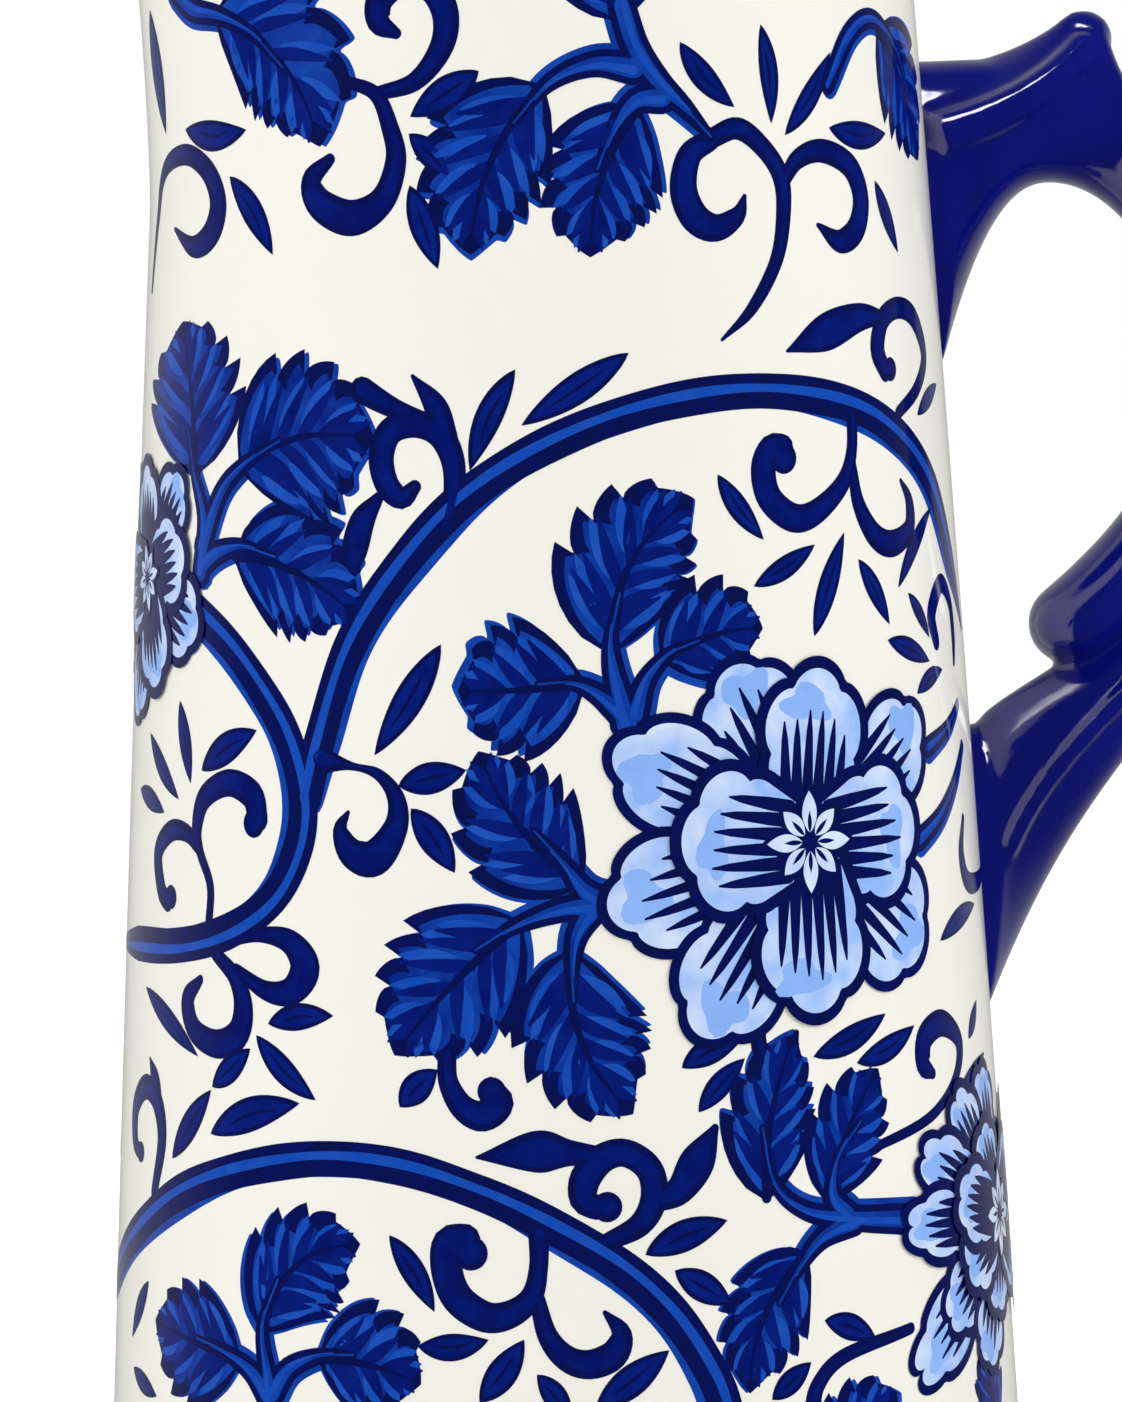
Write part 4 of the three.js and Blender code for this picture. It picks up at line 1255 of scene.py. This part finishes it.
def paint_leaf(painting, base, tip, bend, left, right, left_teeth, right_teeth):
    """A toothed leaf: a blue wash, a dark edge, rib and veins, and light flames between the veins."""
    leaf = Leaf(sheet_spot(*base), sheet_spot(*tip), bend)
    chance = painting.chance
    line = bpy.context.scene.paint.line / MM
    left_edge, left_tips = leaf.edge(left_teeth, left)
    right_edge, right_tips = leaf.edge(right_teeth, -right)
    silhouette = np.array(left_edge + right_edge[::-1])
    left_fill = leaf.edge(left_teeth, left, line * 1.75)[0]
    right_fill = leaf.edge(right_teeth, -right, line * 1.75)[0]
    slip = np.array((chance.uniform(-1.0, 1.0), chance.uniform(-0.9, 0.9)))
    painting.shape("wash", SLIP_COAT, rounded(silhouette + slip), 0.75)
    painting.shape("navy", LINE_COAT, silhouette)
    fresh = chance.uniform(-0.15, 0.25)

    def tone(spots):
        from_base = np.linalg.norm(spots - leaf.start, axis=1) / leaf.length
        return np.clip(0.7 - 0.5 * from_base + fresh, 0, 1)

    painting.shape("wash", WASH_COAT, left_fill + right_fill[::-1], tone)
    for tips, width in ((left_tips, left), (right_tips, -right)):
        gap = tips[1] - tips[0]
        for part in [tips[0] - gap * 0.55] + tips + [lerp(tips[-1], 1.0, 0.5)]:
            # A dark vein runs out to the notch behind each tooth.
            out = min(part + gap * 0.16, 0.95)
            reach = width * leaf.swell(out) * chance.uniform(0.66, 0.8)
            root = out - 0.2
            spots = [leaf.rib(root), leaf.beside(lerp(root, out, 0.45), reach * 0.4), leaf.beside(out, reach)]
            stroke(painting, "deep", VEIN_COAT, spots, (1.55, 2.0, 1.45, 0.35))
            # Where the wash ran thin, a lighter flame points into the tooth.
            reach = width * leaf.swell(part)
            if abs(reach) > 2.5:
                near = leaf.beside(part - 0.17, reach * chance.uniform(0.14, 0.26))
                far = leaf.beside(part, reach * chance.uniform(0.74, 0.86))
                flame = lens(near, far, chance.uniform(1.5, 2.3))
                painting.shape("light", FLAME_COAT, flame, chance.uniform(0.0, 0.4))
    rib = [leaf.rib(t) for t in np.linspace(0.02, 0.9, 8)]
    stroke(painting, "navy", RIB_COAT, rib, (1.5, 1.0, 0.3))


def petal_outline(foot, reach, width, lobes, root, grow=0.0):
    """A scalloped petal along +x from its foot to its reach, before it is turned into place."""
    head = lerp(foot, reach, 0.52)
    span = math.radians(128)
    turns = np.linspace(-span, span, 73)
    shift = 0.0 if lobes % 2 else math.pi / 2
    scallop = 0.83 + 0.17 * np.abs(np.cos(turns * lobes * math.pi / 2 / span * 1.25 + shift)) ** 0.6
    x = head + np.cos(turns) * ((reach - head) * scallop + grow)
    y = np.sin(turns) * (width / 2 * scallop + grow)
    ends = [(foot - grow, root + grow), (foot - grow, -root - grow)]
    return np.concatenate([np.stack([x, y], axis=1), ends])


def paint_petal(painting, middle, across, up, width, lobes, foot, coat, lines, bold):
    """A petal: dark edge, pale wash, fine dark lines from its foot and a second wash on its edge."""
    chance = painting.chance
    reach = math.hypot(across, up)
    spin = turned_by(math.atan2(up, across))
    line = bpy.context.scene.paint.line / MM
    root = width * 0.26
    edge = petal_outline(foot, reach - line, width - line, lobes, root, line * bold)
    fill = petal_outline(foot, reach - line, width - line, lobes, root)
    painting.shape("navy", coat, edge @ spin + middle)
    tilt = chance.uniform(-0.3, 0.3)

    def tone(spots):
        local = (spots - middle) @ spin.T
        return np.clip(0.1 + 0.35 * (local[:, 0] / reach) + tilt * local[:, 1] / 8, 0, 1)

    painting.shape("petal", coat + PETAL_COATS[0], fill @ spin + middle, tone)
    if chance.random() < 0.9:
        spot = np.array((lerp(foot, reach, chance.uniform(0.66, 0.74)), chance.uniform(-0.14, 0.14) * width))
        turns = np.linspace(0, 2 * math.pi, 24)[:-1]
        wobble = 1 + 0.22 * np.sin(turns * 3 + spot[1]) + 0.1 * np.sin(turns * 5)
        ring = np.stack([np.cos(turns) * reach * 0.1, np.sin(turns) * width * 0.22], axis=1)
        blob = spot + ring * wobble[:, None]
        painting.shape("second", coat + PETAL_COATS[1], blob @ spin + middle, chance.uniform(0.5, 0.9))
    for k in range(lines):
        side = (k + 0.5) / lines * 2 - 1
        tip_share = 0.72 - 0.2 * side * side + chance.uniform(-0.06, 0.06)
        begin = np.array((foot + 0.2 + 1.0 * side * side, side * root * 1.05))
        finish = np.array((lerp(foot, reach, tip_share), side * width * 0.40 * (0.7 + 0.3 * tip_share)))
        path = begin + (finish - begin) * np.linspace(0, 1, 12)[:, None]
        path = np.concatenate([path, np.zeros((12, 1))], axis=1)
        weight = np.interp(np.linspace(0, 1, 12), (0, 0.35, 0.8, 1), (2.0, 1.85, 1.15, 0.3))
        painting.shape("navy", coat + PETAL_COATS[2], ribbon(path, weight) @ spin + middle)


def paint_flower(painting, u, v, wide, tall, lean, kind):
    """An open flower: petals behind and in front, each drawn over the one before, and a rosette."""
    middle = sheet_spot(u, v)
    scale = math.sqrt(wide * tall)
    rock = turned_by(lean)
    stretch = np.array((wide, tall))
    coat = FLOWER_COAT
    painting.shape("navy", coat - 0.4, disc(39) * 17.5 * stretch + middle)
    for across, up, width, lobes in BACK_PETALS[kind]:
        across, up = np.array((across, up)) @ rock * stretch
        paint_petal(painting, middle, across, up, width * scale, lobes, 9.6 * scale, coat, 5, 1.3)
        coat += PETAL_COATS[3]
    painting.shape("navy", coat, disc(39) * 9.0 * scale + middle)
    coat += 0.4
    for across, up, width, lobes in FRONT_PETALS[kind]:
        across, up = np.array((across, up)) @ rock * stretch
        paint_petal(painting, middle, across, up, width * scale, lobes, 2.6 * scale, coat, 6, 1.5)
        coat += PETAL_COATS[3]
    painting.shape("navy", coat + 0.4, disc(39) * 2.6 * scale + middle)
    for k in range(8):
        turn_to = math.radians(45 * k) + lean
        way = np.array((math.cos(turn_to), math.sin(turn_to)))
        far = middle + way * (7.0 - 0.9 * (k % 2)) * scale
        near = middle + way * 1.3 * scale
        painting.shape("navy", coat, lens(near, far + way * 0.9, 3.9 * scale))
        painting.shape("petal", coat + 0.8, lens(near, far, 2.5 * scale), 0.7)
        painting.shape("navy", coat + 1.2, lens(near, near + way * 2.9 * scale, 0.7 * scale))
    painting.shape("navy", coat + 1.6, disc(39) * 1.2 * scale + middle)


def whole_painting():
    """Draw every motif of the panel."""
    painting = Painting()
    for before, after, points in VINES:
        paint_vine(painting, before, after, points)
    for points in CURLS:
        paint_curl(painting, points)
    for bulb in BULBS:
        paint_bulb(painting, *bulb)
    for leaflet in LEAFLETS:
        paint_leaflet(painting, *leaflet)
    for leaf in LEAVES:
        paint_leaf(painting, *leaf)
    for points in STEMS:
        paint_stem(painting, points)
    for flower in FLOWERS:
        paint_flower(painting, *flower)
    return painting


def wrap_tree():
    """A node tree that lays the flat panel on the front and on the back of the wall."""
    tree = bpy.data.node_groups.new("wrap_panel_on_wall", "GeometryNodeTree")
    face = tree.interface
    face.new_socket("Panel", in_out="INPUT", socket_type="NodeSocketGeometry")
    numbers = (
        "Facing", "Back turn", "Back squeeze", "Panel middle", "Foot height", "Rim height", "Low radius",
        "Rim radius", "Belly", "Throat height", "Throat swell", "Throat power", "Lip height", "Lip reach",
        "Lip rise", "Beak power", "Spout half angle",
    )
    for name in numbers:
        face.new_socket(name, in_out="INPUT", socket_type="NodeSocketFloat")
    face.new_socket("Paint", in_out="INPUT", socket_type="NodeSocketMaterial")
    face.new_socket("Painted wall", in_out="OUTPUT", socket_type="NodeSocketGeometry")
    given = add_node(tree, "NodeGroupInput")
    flat = add_node(tree, "GeometryNodeInputPosition")
    place = add_node(tree, "ShaderNodeSeparateXYZ", {0: flat.outputs[0]})
    values = {name: given.outputs[name] for name in numbers}
    values.update(turn=place.outputs[0], height=place.outputs[1], lift=place.outputs[2])
    steps = (
        ("middle_moved", "MULTIPLY", "Back squeeze", "Panel middle"),
        ("back_shift", "SUBTRACT", "Back turn", "middle_moved"),
        ("angle", "ADD", "turn", "Facing"),
        ("wall_height", "SUBTRACT", "Rim height", "Foot height"),
        ("above_foot", "SUBTRACT", "height", "Foot height"),
        ("part", "DIVIDE", "above_foot", "wall_height"),
        ("taper", "SUBTRACT", "Rim radius", "Low radius"),
        ("tapered", "MULTIPLY", "taper", "part"),
        ("cone", "ADD", "tapered", "Low radius"),
        ("rest", "SUBTRACT", 1.0, "part"),
        ("hump", "MULTIPLY", "part", "rest"),
        ("four_humps", "MULTIPLY", "hump", 4.0),
        ("swollen", "MULTIPLY", "four_humps", "Belly"),
        ("radius", "ADD", "cone", "swollen"),
        ("from_spout", "SUBTRACT", "angle", math.pi),
        ("cosine_of", "COSINE", "from_spout", 0.0),
        ("turned_off", "ARCCOSINE", "cosine_of", 0.0),
        ("aside", "DIVIDE", "turned_off", "Spout half angle"),
        ("aside_held", "MINIMUM", "aside", 1.0),
        ("quarter", "MULTIPLY", "aside_held", math.pi / 2),
        ("cosine", "COSINE", "quarter", 0.0),
        ("swell", "MULTIPLY", "cosine", "cosine"),
        ("beak", "POWER", "swell", "Beak power"),
        ("below_rim", "SUBTRACT", "height", "Rim height"),
        ("in_throat", "DIVIDE", "below_rim", "Throat height"),
        ("throat_up", "ADD", "in_throat", 1.0),
        ("throat_low", "MAXIMUM", "throat_up", 0.0),
        ("throat_held", "MINIMUM", "throat_low", 1.0),
        ("throat", "POWER", "throat_held", "Throat power"),
        ("in_lip", "DIVIDE", "below_rim", "Lip height"),
        ("lip_up", "ADD", "in_lip", 1.0),
        ("lip_low", "MAXIMUM", "lip_up", 0.0),
        ("lip_held", "MINIMUM", "lip_low", 1.0),
        ("lip", "MULTIPLY", "lip_held", "lip_held"),
        ("lip_beak", "MULTIPLY", "lip", "beak"),
        ("lip_out", "MULTIPLY", "lip_beak", "Lip reach"),
        ("throat_swell", "MULTIPLY", "throat", "swell"),
        ("throat_out", "MULTIPLY", "throat_swell", "Throat swell"),
        ("pull", "ADD", "lip_out", "throat_out"),
        ("pulled", "ADD", "radius", "pull"),
        ("reach", "ADD", "pulled", "lift"),
        ("rise", "MULTIPLY", "lip_beak", "Lip rise"),
        ("cos_turn", "COSINE", "angle", 0.0),
        ("sin_turn", "SINE", "angle", 0.0),
        ("x", "MULTIPLY", "reach", "cos_turn"),
        ("y", "MULTIPLY", "reach", "sin_turn"),
        ("z", "ADD", "height", "rise"),
    )
    for name, operation, first, second in steps:
        feeds = {0: values.get(first, first), 1: values.get(second, second)}
        values[name] = add_node(tree, "ShaderNodeMath", feeds, operation=operation).outputs[0]
    front = add_node(tree, "GeometryNodeInputNamedAttribute", {"Name": "front_only"}, data_type="BOOLEAN")
    kept = add_node(
        tree,
        "GeometryNodeDeleteGeometry",
        {0: given.outputs["Panel"], "Selection": front.outputs[0]},
        domain="POINT",
    )
    squeeze = add_node(tree, "ShaderNodeCombineXYZ", {0: values["Back squeeze"], 1: 1.0, 2: 1.0})
    shift = add_node(tree, "ShaderNodeCombineXYZ", {0: values["back_shift"]})
    back = add_node(
        tree,
        "GeometryNodeTransform",
        {"Geometry": kept.outputs[0], "Translation": shift.outputs[0], "Scale": squeeze.outputs[0]},
    )
    both = add_node(tree, "GeometryNodeJoinGeometry")
    tree.links.new(given.outputs["Panel"], both.inputs[0])
    tree.links.new(back.outputs[0], both.inputs[0])
    spot = add_node(tree, "ShaderNodeCombineXYZ", {0: values["x"], 1: values["y"], 2: values["z"]})
    wrapped = add_node(
        tree, "GeometryNodeSetPosition", {"Geometry": both.outputs[0], "Position": spot.outputs[0]}
    )
    real = add_node(tree, "GeometryNodeRealizeInstances", {0: wrapped.outputs[0]})
    painted = add_node(
        tree, "GeometryNodeSetMaterial", {"Geometry": real.outputs[0], "Material": given.outputs["Paint"]}
    )
    add_node(tree, "NodeGroupOutput", {0: painted.outputs[0]})
    return tree


def brushed_cobalt(name, thin, thick, patch, speckle):
    """Cobalt brushed under a clear gloss glaze: it pools and thins like watercolour, and is speckled."""
    material, tree, shader = new_material(name)
    spot = add_node(tree, "ShaderNodeTexCoord").outputs["Object"]
    tone = add_node(tree, "ShaderNodeAttribute", attribute_name="tone")
    # Pools of wash a few millimetres across.
    pool = add_node(tree, "ShaderNodeTexNoise", {"Vector": spot, "Scale": 1 / (patch * MM), "Detail": 4.0})
    spread = add_node(
        tree,
        "ShaderNodeMapRange",
        {"Value": pool.outputs["Fac"], "From Min": 0.3, "From Max": 0.7, "To Min": -0.35, "To Max": 0.35},
    )
    mixed = add_node(
        tree,
        "ShaderNodeMath",
        {0: tone.outputs["Fac"], 1: spread.outputs[0]},
        operation="ADD",
        use_clamp=True,
    )
    tint = add_node(tree, "ShaderNodeMix", {0: mixed.outputs[0], 6: thick, 7: thin}, data_type="RGBA")
    # Grains of unmelted cobalt, about half a millimetre across.
    grain = add_node(tree, "ShaderNodeTexNoise", {"Vector": spot, "Scale": 1 / (0.5 * MM), "Detail": 2.0})
    fleck = add_node(
        tree,
        "ShaderNodeMapRange",
        {"Value": grain.outputs["Fac"], "From Min": 0.45, "From Max": 0.7, "To Min": 0.0, "To Max": speckle},
    )
    dark = add_node(
        tree,
        "ShaderNodeMix",
        {0: fleck.outputs[0], 6: tint.outputs[2], 7: linear("0A1238")},
        data_type="RGBA",
    )
    feed(tree, shader, {"Base Color": dark.outputs[2], "Roughness": GLAZE_ROUGHNESS, "IOR": GLAZE_IOR})
    return material


class PITCHER_OT_paint(bpy.types.Operator):
    """Paint the vine on the wall in coats of cobalt"""

    bl_idname = "pitcher.paint"
    bl_label = "Painted vine"

    def execute(self, context):
        scene = context.scene
        glaze = scene.glaze
        painting = whole_painting()
        tree = wrap_tree()
        # Each input of the tree takes the size that has its name.
        sizes = {"Facing": scene.stage.azimuth - math.pi / 2}
        for group in (scene.paint, scene.jug):
            sizes.update({prop.name: getattr(group, key) for key, prop in group.bl_rna.properties.items()})
        paints = {
            "navy": brushed_cobalt("cobalt_line", tuple(glaze.navy), linear("050F46"), 3.0, 0.6),
            "wash": brushed_cobalt("cobalt_leaf_wash", tuple(glaze.wash), tuple(glaze.deep), 5.0, 0.12),
            "deep": brushed_cobalt("cobalt_double_wash", tuple(glaze.deep), tuple(glaze.navy), 4.0, 0.2),
            "light": brushed_cobalt("cobalt_thin_streak", tuple(glaze.light), tuple(glaze.wash), 4.0, 0.05),
            "petal": brushed_cobalt("cobalt_petal_wash", linear("E4EDFB"), tuple(glaze.pale), 6.0, 0.0),
            "second": brushed_cobalt("cobalt_second_wash", tuple(glaze.pale), tuple(glaze.second), 5.0, 0.0),
        }
        for paint, material in paints.items():
            points, faces, tones, fronts = painting.mesh_of(paint)
            piece = new_piece("painted_" + paint, points, faces, material)
            piece.data.attributes.new("tone", "FLOAT", "POINT").data.foreach_set("value", tones)
            piece.data.attributes.new("front_only", "BOOLEAN", "POINT").data.foreach_set("value", fronts)
            wrap = piece.modifiers.new("wrap", "NODES")
            wrap.node_group = tree
            for socket in tree.interface.items_tree:
                if socket.in_out == "INPUT" and socket.name in sizes:
                    wrap[socket.identifier] = sizes[socket.name]
                if socket.in_out == "INPUT" and socket.name == "Paint":
                    wrap[socket.identifier] = material
            plain_mesh(piece)
            mesh = piece.data
            mesh.polygons.foreach_set("use_smooth", [True] * len(mesh.polygons))
            spots = np.empty(len(mesh.vertices) * 3)
            mesh.vertices.foreach_get("co", spots)
            spots = spots.reshape(-1, 3)
            normals = wall_normal(np.arctan2(spots[:, 1], spots[:, 0]), spots[:, 2])
            mesh.normals_split_custom_set_from_vertices(normals.tolist())
            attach(piece, "root")
        bpy.data.node_groups.remove(tree)
        return {"FINISHED"}


class PITCHER_PT_panel(bpy.types.Panel):
    """Lists the pieces of the pitcher"""

    bl_idname = "PITCHER_PT_panel"
    bl_label = "Pitcher"
    bl_space_type = "VIEW_3D"
    bl_region_type = "UI"
    bl_category = "Pitcher"

    def draw(self, context):
        for operator in OPERATORS:
            self.layout.operator(operator.bl_idname)


OPERATORS = (PITCHER_OT_stage, PITCHER_OT_body, PITCHER_OT_handle, PITCHER_OT_paint)
GROUPS = {
    "jug": JugSizes,
    "handle": HandleSizes,
    "paint": PaintSizes,
    "glaze": GlazeColours,
    "stage": StageSettings,
}


def register():
    """Add the pieces' sizes, operators and panel."""
    for group in GROUPS.values():
        bpy.utils.register_class(group)
    for operator in OPERATORS:
        bpy.utils.register_class(operator)
    bpy.utils.register_class(PITCHER_PT_panel)
    for name, group in GROUPS.items():
        setattr(bpy.types.Scene, name, PointerProperty(type=group))


def unregister():
    """Take them out again."""
    for name in GROUPS:
        delattr(bpy.types.Scene, name)
    bpy.utils.unregister_class(PITCHER_PT_panel)
    for operator in reversed(OPERATORS):
        bpy.utils.unregister_class(operator)
    for group in reversed(list(GROUPS.values())):
        bpy.utils.unregister_class(group)


def main():
    """Build the stage and the pitcher."""
    register()
    bpy.ops.pitcher.stage()
    bpy.ops.pitcher.body()
    bpy.ops.pitcher.handle()
    bpy.ops.pitcher.paint()


if __name__ == "__main__":
    main()
